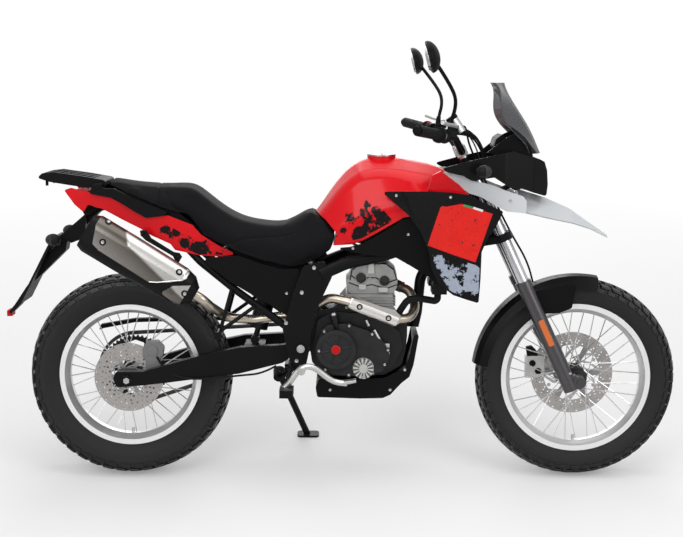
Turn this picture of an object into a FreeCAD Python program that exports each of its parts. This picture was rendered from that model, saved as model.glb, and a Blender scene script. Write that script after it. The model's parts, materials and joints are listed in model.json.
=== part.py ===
"""Dual sport motorcycle, modelled as an assembly of separate pieces.

Every piece is drawn on the upright machine: X forward, Y left, Z up, with the rear
axle above X = 0 and the ground at Z = 0. At the end all pieces lean together onto
the side stand, and the assembly's bottom centre becomes the origin.
"""
import FreeCAD, Part, Sketcher
import math
import os
from FreeCAD import Placement, Rotation, Vector

SIZES = {
    "stance": dict(lean=10.0, steer_rake=25.0, head_x=1105.0, head_z=860.0,
                   fork_offset=35.0, fork_spread=95.0, axle_lead=32.0, axle_drop=625.0),
    "rear wheel": dict(rear_axle_z=326.0, rear_tyre_outer=326.0, rear_tyre_width=130.0,
                       rear_rim_flange=228.0, rear_rim_width=84.0, rear_disc_outer=110.0,
                       rear_disc_y=-76.0, chain_y=82.0, sprocket_teeth=46.0, chain_pitch=15.875),
    "front wheel": dict(front_tyre_outer=322.0, front_tyre_width=100.0, front_rim_flange=240.0,
                        front_rim_width=62.0, front_disc_outer=134.0, front_disc_y=57.0),
    "wheel details": dict(rim_flange_wall=3.2, bead_depth=12.0, tyre_clearance=0.8, spoke_count=36.0,
                          spoke_radius=1.7, hub_flange=36.0, hub_barrel=26.0, axle_radius=8.5,
                          axle_clearance=0.3, disc_thickness=4.0, disc_band=22.0, disc_holes=20.0, disc_hole_radius=3.2,
                          tread_rows=32.0, tread_depth=8.0, tread_slot=13.0, tread_rib=6.0),
    "fork": dict(stanchion_radius=19.5, lower_radius=24.0, lower_top=-262.0, fork_clearance=0.4,
                 clamp_top=96.0, clamp_bottom=-90.0, clamp_height=24.0, head_half=82.0,
                 head_radius=27.0, head_bore=17.5, stem_radius=14.0, bar_radius=11.0,
                 grip_radius=16.5, grip_clearance=0.3, fender_wall=4.0, fender_gap=9.0),
    "frame": dict(spar_radius=20.0, downtube_radius=17.0, rail_radius=12.0, plate_inner=131.0,
                  plate_thickness=20.0, pivot_x=549.0, pivot_z=435.0, arm_inner=97.0,
                  arm_thickness=28.0, pivot_tube_radius=22.0, pivot_bolt_radius=9.5,
                  bolt_clearance=0.3),
    "engine": dict(case_half=108.0, case_radius=16.0, clutch_x=659.0, clutch_z=433.0,
                   clutch_radius=62.0, clutch_reach=55.0, generator_x=752.0, generator_z=430.0,
                   generator_radius=66.0, filter_x=745.0, filter_z=367.0, filter_radius=32.0,
                   head_half_width=72.0, fin_thickness=3.0, fin_pitch=8.5, fin_reach=5.0,
                   header_radius=15.0, hose_radius=11.0, muffler_y=-176.0,
                   shield_gap=0.6, shield_wall=2.5),
    "bodywork": dict(skin=4.0, seam=0.6, shroud_y=150.0, cap_x=800.0, cap_radius=36.0, cap_clearance=3.0,
                     indicator_length=24.0, indicator_radius=19.0),
    "stand": dict(stand_x=470.0, stand_y=128.0, stand_z=300.0, stand_radius=11.0, stand_pin=6.0,
                  stand_foot_x=560.0, stand_foot_y=285.0),
}

doc = FreeCAD.newDocument("DualSportMotorcycle")
sheet = doc.addObject("Spreadsheet::Sheet", "Sizes")
line = 1
for group, values in SIZES.items():
    sheet.set("A%d" % line, group)
    line += 1
    for name, value in values.items():
        sheet.set("A%d" % line, name)
        sheet.set("B%d" % line, str(value))
        sheet.setAlias("B%d" % line, name)
        line += 1
doc.recompute()

nodes = []


def size(name):
    """A driving dimension as the sheet holds it."""
    return float(sheet.get(name))


def node(obj, label, place=None):
    """Name a finished piece and remember where it sits on the upright machine."""
    obj.Label = label
    nodes.append((obj, place or Placement()))
    return obj


# Sketch helpers

def origin_plane(body, role):
    return next(f for f in body.Origin.OriginFeatures if f.Role == role)


def origin_axis(body, role):
    return next(f for f in body.Origin.OriginFeatures if f.Role == role)


def new_body(name):
    return doc.addObject("PartDesign::Body", name)


def new_sketch(body, role, offset=None):
    """An empty sketch on an origin plane, moved along its normal by an expression."""
    sketch = body.newObject("Sketcher::SketchObject", body.Name + "Sketch")
    sketch.AttachmentSupport = (origin_plane(body, role), [""])
    sketch.MapMode = "FlatFace"
    if offset is not None:
        sketch.setExpression("AttachmentOffset.Base.z", str(offset))
    return sketch


def rounded(points, radius, soft=False):
    """Edges of a closed polygon whose corners are rounded where there is room.

    A soft outline is rounded by the length it takes from each side, which gives
    every section of a loft the same number of edges.
    """
    count = len(points)
    radii = radius if isinstance(radius, (list, tuple)) else [radius] * count
    vectors = [Vector(p[0], p[1], 0) for p in points]
    starts, ends, arcs = [], [], []
    for i in range(count):
        before, here, after = vectors[i - 1], vectors[i], vectors[(i + 1) % count]
        u, v = (before - here), (after - here)
        room = 0.45 * min(u.Length, v.Length)
        u.normalize()
        v.normalize()
        half = 0.5 * u.getAngle(v)
        if radii[i] <= 0 or half > math.radians(89.95 if soft else 88):
            starts.append(here)
            ends.append(here)
            arcs.append(None)
            continue
        reach = min(radii[i] if soft else radii[i] / math.tan(half), room)
        first, last = here + u * reach, here + v * reach
        bulge = (u + v)
        bulge.normalize()
        r = reach * math.tan(half)
        middle = here + bulge * (r / math.sin(half) - r)
        starts.append(first)
        ends.append(last)
        arcs.append(Part.Arc(first, middle, last))
    edges = []
    for i in range(count):
        if arcs[i]:
            edges.append(arcs[i])
        a, b = ends[i], starts[(i + 1) % count]
        if (b - a).Length > 1e-6:
            edges.append(Part.LineSegment(a, b))
    return edges


def draw(sketch, points, radius=0, soft=False):
    """Add a closed outline with rounded corners to a sketch."""
    edges = rounded(points, radius, soft)
    shapes = []
    for edge in edges:
        if isinstance(edge, Part.Arc):
            shape = edge.toShape()
            curve = shape.Curve
            shapes.append(Part.ArcOfCircle(curve, shape.FirstParameter, shape.LastParameter))
        else:
            shapes.append(edge)
    sketch.addGeometry(shapes, False)
    return sketch


def draw_circle(sketch, x, y, radius):
    """Add a circle; its radius may be an expression."""
    index = sketch.addGeometry(Part.Circle(Vector(x, y, 0), Vector(0, 0, 1), 5), False)
    constraint = sketch.addConstraint(Sketcher.Constraint("Radius", index, 5.0))
    sketch.setExpression("Constraints[%d]" % constraint, str(radius))
    return sketch


# Solid helpers

def pad(body, sketch, length, reverse=False):
    feature = body.newObject("PartDesign::Pad", body.Name + "Pad")
    feature.Profile = sketch
    feature.setExpression("Length", str(length))
    feature.Reversed = reverse
    return feature


def pocket(body, sketch, length, reverse=False):
    feature = body.newObject("PartDesign::Pocket", body.Name + "Pocket")
    feature.Profile = sketch
    feature.setExpression("Length", str(length))
    feature.Reversed = reverse
    return feature


def side_pad(name, points, y_from, length, radius=0):
    """Pad a side outline (X, Z) from Y = y_from towards the right by length."""
    body = new_body(name)
    sketch = draw(new_sketch(body, "XZ_Plane", "-(%s)" % y_from), points, radius)
    pad(body, sketch, length)
    return body


def plan_pad(name, points, z_from, length, radius=0):
    """Pad a plan outline (X, Y) upwards from Z = z_from."""
    body = new_body(name)
    sketch = draw(new_sketch(body, "XY_Plane", z_from), points, radius)
    pad(body, sketch, length)
    return body


def revolve(name, points, angle="360"):
    """Turn a profile of (Y, radius) points about the Y axis."""
    body = new_body(name)
    sketch = draw(new_sketch(body, "YZ_Plane"), points)
    feature = body.newObject("PartDesign::Revolution", name + "Turn")
    feature.Profile = sketch
    feature.ReferenceAxis = (sketch, ["H_Axis"])
    feature.setExpression("Angle", angle)
    return body


def loft(name, role, stations, ruled=False):
    """Loft closed outlines; each station is (offset, points, corner radius)."""
    body = new_body(name)
    sketches = []
    for offset, points, radius in stations:
        sketches.append(draw(new_sketch(body, role, offset), points, radius, True))
    feature = body.newObject("PartDesign::AdditiveLoft", name + "Loft")
    feature.Profile = sketches[0]
    feature.Sections = sketches[1:]
    feature.Ruled = ruled
    return body


def mirrored_outline(half):
    """Close a half outline (y >= 0, bottom to top) into a symmetric one."""
    left = [(-y, z) for y, z in reversed(half) if y > 0]
    return list(half) + left


def bent_wire(points, bend):
    """Straight runs joined by tangent arcs of one radius, less where a run is short."""
    vectors = [Vector(*p) for p in points]
    edges, start = [], vectors[0]
    for i in range(1, len(vectors) - 1):
        here = vectors[i]
        u, v = vectors[i - 1] - here, vectors[i + 1] - here
        room = 0.45 * min(u.Length, v.Length)
        u.normalize()
        v.normalize()
        half = 0.5 * u.getAngle(v)
        reach = min(bend / math.tan(half), room)
        r = reach * math.tan(half)
        bulge = u + v
        bulge.normalize()
        first, last = here + u * reach, here + v * reach
        middle = here + bulge * (r / math.sin(half) - r)
        edges.append(Part.LineSegment(start, first).toShape())
        edges.append(Part.Arc(first, middle, last).toShape())
        start = last
    edges.append(Part.LineSegment(start, vectors[-1]).toShape())
    return Part.Wire(edges)


def tube(name, points, radius, bend=60.0):
    """A round bar or pipe swept along a bent path; its radius is an expression."""
    path = doc.addObject("Part::Feature", name + "Path")
    path.Shape = bent_wire(points, bend)
    section = doc.addObject("Part::Circle", name + "Section")
    section.setExpression("Radius", str(radius))
    start = Vector(*points[0])
    along = Vector(*points[1]) - start
    section.Placement = Placement(start, Rotation(Vector(0, 0, 1), along))
    sweep = doc.addObject("Part::Sweep", name)
    sweep.Sections = [section]
    sweep.Spine = (path, ["Edge%d" % (i + 1) for i in range(len(path.Shape.Edges))])
    sweep.Solid = True
    sweep.Frenet = False
    return sweep


def rod(name, start, end, radius):
    """A straight round bar between two points."""
    start, end = Vector(*start), Vector(*end)
    bar = doc.addObject("Part::Cylinder", name)
    bar.setExpression("Radius", str(radius))
    bar.Height = (end - start).Length
    bar.Placement = Placement(start, Rotation(Vector(0, 0, 1), end - start))
    return bar


def box(name, x, y, z):
    """A block between pairs of coordinates."""
    block = doc.addObject("Part::Box", name)
    block.Length, block.Width, block.Height = x[1] - x[0], y[1] - y[0], z[1] - z[0]
    block.Placement = Placement(Vector(x[0], y[0], z[0]), Rotation())
    return block


def fuse(name, parts, refine=True):
    union = doc.addObject("Part::MultiFuse", name)
    union.Shapes = parts
    union.Refine = refine
    return union


def common(name, parts):
    shared = doc.addObject("Part::MultiCommon", name)
    shared.Shapes = parts
    return shared


def cut(name, base, tool):
    rest = doc.addObject("Part::Cut", name)
    rest.Base, rest.Tool = base, tool
    return rest


def other_side(obj):
    """The same piece on the other side of the machine."""
    mirror = doc.addObject("Part::Mirroring", obj.Name + "Left")
    mirror.Source = obj
    mirror.Normal = Vector(0, 1, 0)
    return mirror


def group(name, parts):
    bundle = doc.addObject("Part::Compound", name)
    bundle.Links = parts
    return bundle


def both_sides(name, obj):
    return group(name, [obj, other_side(obj)])


def flip(point):
    return (point[0], -point[1], point[2])


# Reference places on the upright machine

RAKE = math.radians(size("steer_rake"))
STEER = Placement(Vector(size("head_x"), 0, size("head_z")),
                  Rotation(Vector(0, 1, 0), -size("steer_rake")))
AXLE_LOCAL = Vector(size("fork_offset") + size("axle_lead"), 0, -size("axle_drop"))
FRONT_AXLE = STEER.multVec(AXLE_LOCAL)
REAR_AXLE = Vector(0, 0, size("rear_axle_z"))
PIVOT = Vector(size("pivot_x"), 0, size("pivot_z"))
STAND_HINGE = Vector(size("stand_x"), size("stand_y"), size("stand_z"))
STAND_FOOT = Vector(size("stand_foot_x"), size("stand_foot_y"),
                    size("stand_foot_y") * math.tan(math.radians(size("lean"))) + 4)
FOLDED = Vector(-0.979, 0.06, -0.199)
STAND_AXIS = (STAND_FOOT - STAND_HINGE).cross(FOLDED)
STAND_AXIS.normalize()


# Wheels

def tread_slot(body, side, outer, turn):
    """One slot between two lugs, from the middle rib out through the shoulder on one side."""
    slot = new_sketch(body, "YZ_Plane")
    slot.AttachmentOffset = Placement(Vector(), Rotation(Vector(1, 0, 0), turn))
    rib, depth = size("tread_rib"), size("tread_depth")
    reach = abs(side) + 4
    hand = math.copysign(1, side)
    draw(slot, [(hand * rib, outer + 6), (hand * rib, outer - depth), (hand * reach, outer - 4.2 * depth),
                (hand * reach, outer + 6)])
    groove = pocket(body, slot, "Sizes.tread_slot")
    groove.Midplane = True
    return groove


def wheel(prefix, place):
    """Tyre and rim of one wheel; both are turned about the axle."""
    outer, width = size(prefix + "_tyre_outer"), size(prefix + "_tyre_width")
    flange, rim = size(prefix + "_rim_flange"), size(prefix + "_rim_width")
    wall, depth, gap = size("rim_flange_wall"), size("bead_depth"), size("tyre_clearance")
    seat = flange - depth
    side = 0.5 * width
    shoulder = 0.9 * side
    bead = 0.5 * rim - wall - gap
    half = [(0, outer), (shoulder, outer - 13), (side, outer - 40), (0.5 * rim + 1, flange + 5),
            (bead - depth, seat + gap)]
    profile = half + [(-y, r) for y, r in reversed(half) if y > 0]
    tyre = revolve(prefix + "Tyre", profile)
    doc.recompute()
    rows = int(size("tread_rows"))
    for hand, turn in ((1, 0), (-1, 180.0 / rows)):
        groove = tread_slot(tyre, hand * side, outer, turn)
        pattern = tyre.newObject("PartDesign::PolarPattern", prefix + "Lugs")
        pattern.Originals = [groove]
        pattern.Axis = (origin_axis(tyre, "Y_Axis"), [""])
        pattern.Angle = 360
        pattern.Occurrences = rows
        tyre.Tip = pattern
    node(tyre, prefix + "_tyre", place)
    half = [(0.5 * rim, seat - 4), (0.5 * rim, flange), (0.5 * rim - wall, flange),
            (0.5 * rim - wall, seat)]
    profile = half + [(-y, r) for y, r in reversed(half)]
    profile += [(-0.36 * rim, seat - 9), (-0.16 * rim, seat - 18), (0.16 * rim, seat - 18),
                (0.36 * rim, seat - 9)]
    node(revolve(prefix + "Rim", profile), prefix + "_rim", place)
    return seat - 18


def hub(prefix, place, left, right, well):
    """Hub barrel with two spoke flanges, and the laced spokes fused to it."""
    barrel, flange = size("hub_barrel"), size("hub_flange")
    bore = size("axle_radius") + size("axle_clearance")
    profile = [(right, bore), (left, bore), (left, barrel), (34, barrel), (34, flange),
               (28, flange), (22, barrel - 4), (-22, barrel - 4), (-28, flange),
               (-34, flange), (-34, barrel), (right, barrel)]
    core = revolve(prefix + "HubCore", profile)
    count = int(size("spoke_count"))
    spokes = []
    for i in range(count):
        side = 1 if i % 2 else -1
        lean = 1 if (i // 2) % 2 else -1
        angle = 360.0 / count * (i + 0.3)
        foot_angle = math.radians(angle - lean * 62)
        head_angle = math.radians(angle)
        foot_y, tip_y = side * (30.8 + 1.8 * lean), side * (5.5 + 2 * lean)
        foot = Vector((flange - 3) * math.cos(foot_angle), foot_y, (flange - 3) * math.sin(foot_angle))
        tip = Vector((well - 0.6) * math.cos(head_angle), tip_y, (well - 0.6) * math.sin(head_angle))
        spoke = doc.addObject("Part::Prism", prefix + "Spoke")
        spoke.Polygon = 4
        spoke.setExpression("Circumradius", "Sizes.spoke_radius")
        spoke.Height = (tip - foot).Length
        spoke.Placement = Placement(foot, Rotation(Vector(0, 0, 1), tip - foot))
        spokes.append(spoke)
    node(fuse(prefix + "Hub", [core] + spokes), prefix + "_hub", place)


def brake_disc(prefix, place, mount):
    """Brake disc: a band carried by six arms."""
    outer, band = size(prefix + "_disc_outer"), size("disc_band")
    body = new_body(prefix + "Disc")
    sketch = new_sketch(body, "XZ_Plane", "-Sizes.%s_disc_y - Sizes.disc_thickness / 2" % prefix)
    draw_circle(sketch, 0, 0, "Sizes.%s_disc_outer" % prefix)
    draw_circle(sketch, 0, 0, mount)
    pad(body, sketch, "Sizes.disc_thickness")
    doc.recompute()
    window = new_sketch(body, "XZ_Plane", "-Sizes.%s_disc_y - Sizes.disc_thickness" % prefix)
    inner, rim = mount + 14, outer - band
    a, b = math.radians(9), math.radians(51)
    draw(window, [(inner * math.cos(a), inner * math.sin(a)), (rim * math.cos(a / 1.5), rim * math.sin(a / 1.5)),
                  (1.03 * rim * math.cos(0.52), 1.03 * rim * math.sin(0.52)),
                  (rim * math.cos(b + 0.05), rim * math.sin(b + 0.05)), (inner * math.cos(b), inner * math.sin(b))], 4)
    hole = pocket(body, window, "3 * Sizes.disc_thickness", True)
    pattern = body.newObject("PartDesign::PolarPattern", prefix + "DiscArms")
    pattern.Originals = [hole]
    pattern.Axis = (origin_axis(body, "Y_Axis"), [""])
    pattern.Angle = 360
    pattern.Occurrences = 6
    body.Tip = pattern
    doc.recompute()
    drilled = new_sketch(body, "XZ_Plane", "-Sizes.%s_disc_y - Sizes.disc_thickness" % prefix)
    middle = outer - 0.5 * band
    for turn, r in ((0, middle - 5), (0.5, middle + 5)):
        angle = 2 * math.pi * turn / size("disc_holes")
        draw_circle(drilled, r * math.cos(angle), r * math.sin(angle), "Sizes.disc_hole_radius")
    hole = pocket(body, drilled, "3 * Sizes.disc_thickness", True)
    pattern = body.newObject("PartDesign::PolarPattern", prefix + "DiscHoles")
    pattern.Originals = [hole]
    pattern.Axis = (origin_axis(body, "Y_Axis"), [""])
    pattern.Angle = 360
    pattern.setExpression("Occurrences", "Sizes.disc_holes")
    body.Tip = pattern
    node(body, prefix + "_disc", place)


rear_place = Placement(REAR_AXLE, Rotation())
front_place = Placement(FRONT_AXLE, Rotation())
rear_well = wheel("rear", rear_place)
front_well = wheel("front", front_place)
seat_gap = size("axle_clearance")
rear_right = size("rear_disc_y") + 0.5 * size("disc_thickness") + seat_gap
hub("rear", rear_place, size("chain_y") - 3 - seat_gap, rear_right, rear_well)
front_left = size("front_disc_y") - 0.5 * size("disc_thickness") - seat_gap
hub("front", front_place, front_left, -58, front_well)
brake_disc("rear", rear_place, 20)
brake_disc("front", front_place, 20)


# Rear sprocket and chain

TEETH = int(size("sprocket_teeth"))
PITCH_RADIUS = 0.5 * size("chain_pitch") / math.sin(math.pi / TEETH)
FRONT_TEETH = 14
FRONT_PITCH_RADIUS = 0.5 * size("chain_pitch") / math.sin(math.pi / FRONT_TEETH)
DRIVE = Vector(600, 0, 445)


def sprocket():
    tip = PITCH_RADIUS - 7.0
    root = tip - 6.0
    points = []
    for i in range(TEETH):
        for share, r in ((-0.34, root), (-0.12, tip), (0.12, tip), (0.34, root)):
            angle = 2 * math.pi * (i + share) / TEETH
            points.append((r * math.cos(angle), r * math.sin(angle)))
    body = new_body("Sprocket")
    sketch = draw(new_sketch(body, "XZ_Plane", "-Sizes.chain_y - 3"), points)
    draw_circle(sketch, 0, 0, "Sizes.hub_barrel - 6")
    pad(body, sketch, 6)
    window = new_sketch(body, "XZ_Plane", "-Sizes.chain_y - 5")
    a, b, inner, rim = math.radians(10), math.radians(50), 40.0, root - 16.0
    draw(window, [(inner * math.cos(a), inner * math.sin(a)), (rim * math.cos(a), rim * math.sin(a)),
                  (1.06 * rim * math.cos(0.52), 1.06 * rim * math.sin(0.52)),
                  (rim * math.cos(b), rim * math.sin(b)), (inner * math.cos(b), inner * math.sin(b))], 5)
    hole = pocket(body, window, 12, True)
    pattern = body.newObject("PartDesign::PolarPattern", "SprocketArms")
    pattern.Originals = [hole]
    pattern.Axis = (origin_axis(body, "Y_Axis"), [""])
    pattern.Angle = 360
    pattern.Occurrences = 6
    body.Tip = pattern
    node(body, "rear_sprocket", rear_place)


def belt_outline(offset):
    """Closed wire round both sprockets, a given distance outside the pitch line."""
    big, small = PITCH_RADIUS + offset, FRONT_PITCH_RADIUS + offset
    span = Vector(DRIVE.x - REAR_AXLE.x, 0, DRIVE.z - REAR_AXLE.z)
    tilt = math.atan2(span.z, span.x)
    spread = math.acos((big - small) / span.Length)

    def on(centre, r, angle):
        return Vector(centre.x + r * math.cos(angle), 0, centre.z + r * math.sin(angle))
    top, low = tilt + spread, tilt - spread
    edges = [Part.LineSegment(on(REAR_AXLE, big, top), on(DRIVE, small, top)).toShape(),
             Part.Arc(on(DRIVE, small, top), on(DRIVE, small, tilt), on(DRIVE, small, low)).toShape(),
             Part.LineSegment(on(DRIVE, small, low), on(REAR_AXLE, big, low)).toShape(),
             Part.Arc(on(REAR_AXLE, big, low), on(REAR_AXLE, big, tilt + math.pi),
                      on(REAR_AXLE, big, top)).toShape()]
    return Part.Wire(edges)


def chain():
    """Two rows of side plates round both sprockets, joined by rollers."""
    outer, inner = Part.Face(belt_outline(5.5)), Part.Face(belt_outline(-5.5))
    band = outer.cut(inner)
    plates = []
    for y in (size("chain_y") - 7.0, size("chain_y") + 5.0):
        plate = band.extrude(Vector(0, 2.0, 0))
        plate.translate(Vector(0, y, 0))
        plates.append(plate)
    path = belt_outline(0)
    count = int(path.Length / size("chain_pitch"))
    rollers = []
    for point in path.discretize(count + 1)[:-1]:
        corners = [Vector(point.x + 3.8 * math.cos(k * math.pi / 2), size("chain_y") - 5,
                          point.z + 3.8 * math.sin(k * math.pi / 2)) for k in range(5)]
        rollers.append(Part.Face(Part.makePolygon(corners)).extrude(Vector(0, 10, 0)))
    solid = plates[0].multiFuse([plates[1]] + rollers)
    piece = doc.addObject("Part::Feature", "Chain")
    piece.Shape = solid
    node(piece, "chain")


sprocket()
chain()


# Swingarm, frame and subframe

def swingarm():
    arm = [(-36, 352), (-44, 330), (-33, 302), (46, 309), (125, 318), (228, 332), (355, 349), (491, 384),
           (535, 414), (566, 425), (566, 447), (535, 456), (491, 441), (357, 433), (230, 405), (112, 371),
           (49, 353)]
    side = side_pad("Arm", arm, "-Sizes.arm_inner", "Sizes.arm_thickness", 14)
    brace = box("ArmBrace", (365, 430), (-size("arm_inner") - 2, size("arm_inner") + 2), (372, 424))
    inner = size("arm_inner")
    tube_end = inner + size("arm_thickness")
    pivot = rod("PivotTube", (PIVOT.x, -tube_end, PIVOT.z), (PIVOT.x, tube_end, PIVOT.z), "Sizes.pivot_tube_radius")
    reach = size("plate_inner") + size("plate_thickness") + 6
    bolt = rod("PivotBolt", (PIVOT.x, -reach, PIVOT.z), (PIVOT.x, reach, PIVOT.z), "Sizes.pivot_bolt_radius")
    axle = rod("RearAxle", (0, -tube_end - 12, REAR_AXLE.z), (0, tube_end + 12, REAR_AXLE.z), "Sizes.axle_radius")
    nuts = [rod("AxleNut", (0, s * tube_end, REAR_AXLE.z), (0, s * (tube_end + 9), REAR_AXLE.z), 15) for s in (-1, 1)]
    face = size("plate_inner") + size("plate_thickness") + size("bolt_clearance")
    nuts += [rod("PivotNut", (PIVOT.x, s * face, PIVOT.z), (PIVOT.x, s * (face + 8), PIVOT.z), 15) for s in (-1, 1)]
    node(fuse("Swingarm", [side, other_side(side), brace, pivot, bolt, axle] + nuts), "swingarm")


def stand_bracket():
    """Lug and pin on the frame's left side, which carry the side stand."""
    inner = STAND_HINGE - STAND_AXIS * 13.4
    pin = rod("StandPin", STAND_HINGE - STAND_AXIS * 18, STAND_HINGE + STAND_AXIS * 17, "Sizes.stand_pin")
    lug = rod("StandLug", STAND_HINGE - STAND_AXIS * 21.4, inner, 20)
    middle = size("plate_inner") + 0.5 * size("plate_thickness")
    elbow = STAND_HINGE - STAND_AXIS * 22.6 + Vector(30, -10, 21)
    web = rod("StandWeb", STAND_HINGE - STAND_AXIS * 22.6, elbow, 9)
    arm = rod("StandArm", elbow, (534, middle - 4, 366), 11)
    return [pin, lug, web, arm]


def frame():
    plate = [(559, 695), (619, 711), (647, 664), (606, 575), (582, 490), (576, 430), (565, 379), (534, 352),
             (513, 405), (492, 495), (520, 590), (549, 679)]
    side = side_pad("Plate", plate, "-Sizes.plate_inner", "Sizes.plate_thickness", 10)
    bore = rod("PivotBore", (PIVOT.x, -400, PIVOT.z), (PIVOT.x, 400, PIVOT.z),
               "Sizes.pivot_bolt_radius + Sizes.bolt_clearance")
    middle = size("plate_inner") + 0.5 * size("plate_thickness")
    members = [side, other_side(side)]
    for s in (-1, 1):
        spar = [(1078, s * 18, 812), (950, s * 90, 772), (800, s * 111, 724), (690, s * 122, 702),
                (610, s * middle, 668)]
        members.append(tube("Spar", spar, "Sizes.spar_radius", 120))
    members.append(tube("DownTube", [(1110, 0, 822), (970, 0, 715), (928, 0, 640), (918, 0, 530), (908, 0, 484)],
                        "Sizes.downtube_radius", 80))
    for x, z, r in ((575, 668, 14), (538, 367, 11)):
        members.append(rod("CrossTube", (x, -middle, z), (x, middle, z), r))
    members.append(rod("EngineMount", (910, 0, 492), (884.4, 0, 492), 11))
    members += stand_bracket()
    for s in (-1, 1):
        members.append(rod("TankPad", (760, s * 104, 736), (760, s * 104, 779.7), 8))
    stay = STEER.multVec(Vector(20, 0, 17))
    members.append(rod("FairingStay", stay, (1229, 0, 950), 9))
    members.append(box("FairingPlate", (1225, 1235.6), (-40, 40), (936, 986)))
    head = rod("HeadTube", (0, 0, 0), (0, 0, 1), "Sizes.head_radius")
    head.setExpression("Height", "2 * Sizes.head_half")
    head.Placement = STEER.multiply(Placement(Vector(0, 0, -size("head_half")), Rotation()))
    head_bore = rod("HeadBore", (0, 0, 0), (0, 0, 1), "Sizes.head_bore")
    head_bore.Height = 400
    head_bore.Placement = STEER.multiply(Placement(Vector(0, 0, -200), Rotation()))
    whole = cut("FrameBored", fuse("FrameJoined", members + [head], False), bore)
    node(cut("Frame", whole, head_bore), "frame")


def subframe():
    members = []
    for s in (-1, 1):
        upper = [(560.2, s * 75, 667), (520, s * 76, 655), (400, s * 78, 684), (243, s * 78, 752),
                 (120, s * 76, 834), (-70, s * 70, 884)]
        lower = [(512, s * 118.6, 492), (336, s * 108, 618), (232, s * 95, 700), (110, s * 76, 826)]
        members.append(tube("UpperRail", upper, "Sizes.rail_radius", 90))
        members.append(tube("LowerRail", lower, "Sizes.rail_radius", 90))
    members.append(rod("RailCross", (-60, -72, 881), (-60, 72, 881), 9))
    members.append(rod("RailCross", (300, -78, 727), (300, 78, 727), 9))
    members.append(rod("RailCross", (452, -76, 668), (452, 76, 668), 9))
    for s in (-1, 1):
        members.append(rod("SeatPad", (400, s * 78, 688), (400, s * 78, 711), 8))
        members.append(rod("SeatPad", (20, s * 74, 862), (20, s * 74, 903.2), 8))
    node(fuse("Subframe", members), "subframe")


swingarm()
frame()
subframe()


# Engine

def engine():
    case = [(572, 450), (580, 520), (600, 545), (655, 556), (690, 597.6), (838, 597.6), (842, 540), (862, 512),
            (884, 506), (884, 468), (880, 420), (868, 372), (815, 340), (700, 333), (620, 338), (583, 380)]
    r = size("case_radius")
    middle = side_pad("Case", case, "Sizes.case_half - 22", "2 * Sizes.case_half - 44",
                      [r, r, r, r, 2, 2, r, 10, 4, 4, r, r, r, r, r, r])
    lower = [(588, 440), (600, 520), (650, 545), (735, 540), (815, 520), (860, 480), (868, 430), (840, 372),
             (800, 350), (700, 343), (630, 348), (596, 388)]
    wide = side_pad("CaseWide", lower, "Sizes.case_half", "2 * Sizes.case_half", 22)
    recess = box("SprocketRecess", (540, 652), (70, 120), (388, 500))
    shaft = rod("DriveSprocket", (DRIVE.x, 60, DRIVE.z), (DRIVE.x, size("chain_y") + 4, DRIVE.z), 29.8)
    reach = size("case_half") - 22 + size("fin_reach")
    fins = []
    for i in range(4):
        low = 562 + i * size("fin_pitch")
        fins.append(box("CylinderFin", (684, 846), (-reach, reach), (low, low + size("fin_thickness"))))
    body = cut("CaseCut", fuse("CaseJoined", [middle, wide] + fins), recess)
    node(fuse("Crankcase", [body, shaft]), "crankcase")
    head = [(692, 612), (703, 598), (838, 598), (850, 616), (853, 640), (846, 672), (822, 693), (781, 699),
            (725, 693), (704, 672), (701, 650), (689, 640)]
    body = side_pad("Head", head, "Sizes.head_half_width", "2 * Sizes.head_half_width", 12)
    half = size("head_half_width")
    cover = [(703, 657), (852, 642), (848, 668), (824, 690), (782, 696), (724, 690), (705, 671)]
    parts = [body, side_pad("CamCover", cover, "Sizes.head_half_width + 3", "2 * Sizes.head_half_width + 6", 10)]
    parts.append(rod("Port", (842, -6, 622), (868, -24, 612), 18))
    parts.append(box("CoverRib", (764, 783), (-half - 5, half + 5), (646, 690)))
    for x, z, r, out in ((737, 649, 18, 7), (811, 640, 18, 7), (739, 616, 12, 4), (802, 610, 12, 4)):
        parts.append(rod("HeadBoss", (x, -half - out, z), (x, half + out, z), r))
    node(fuse("CylinderHead", parts), "cylinder_head")


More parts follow.
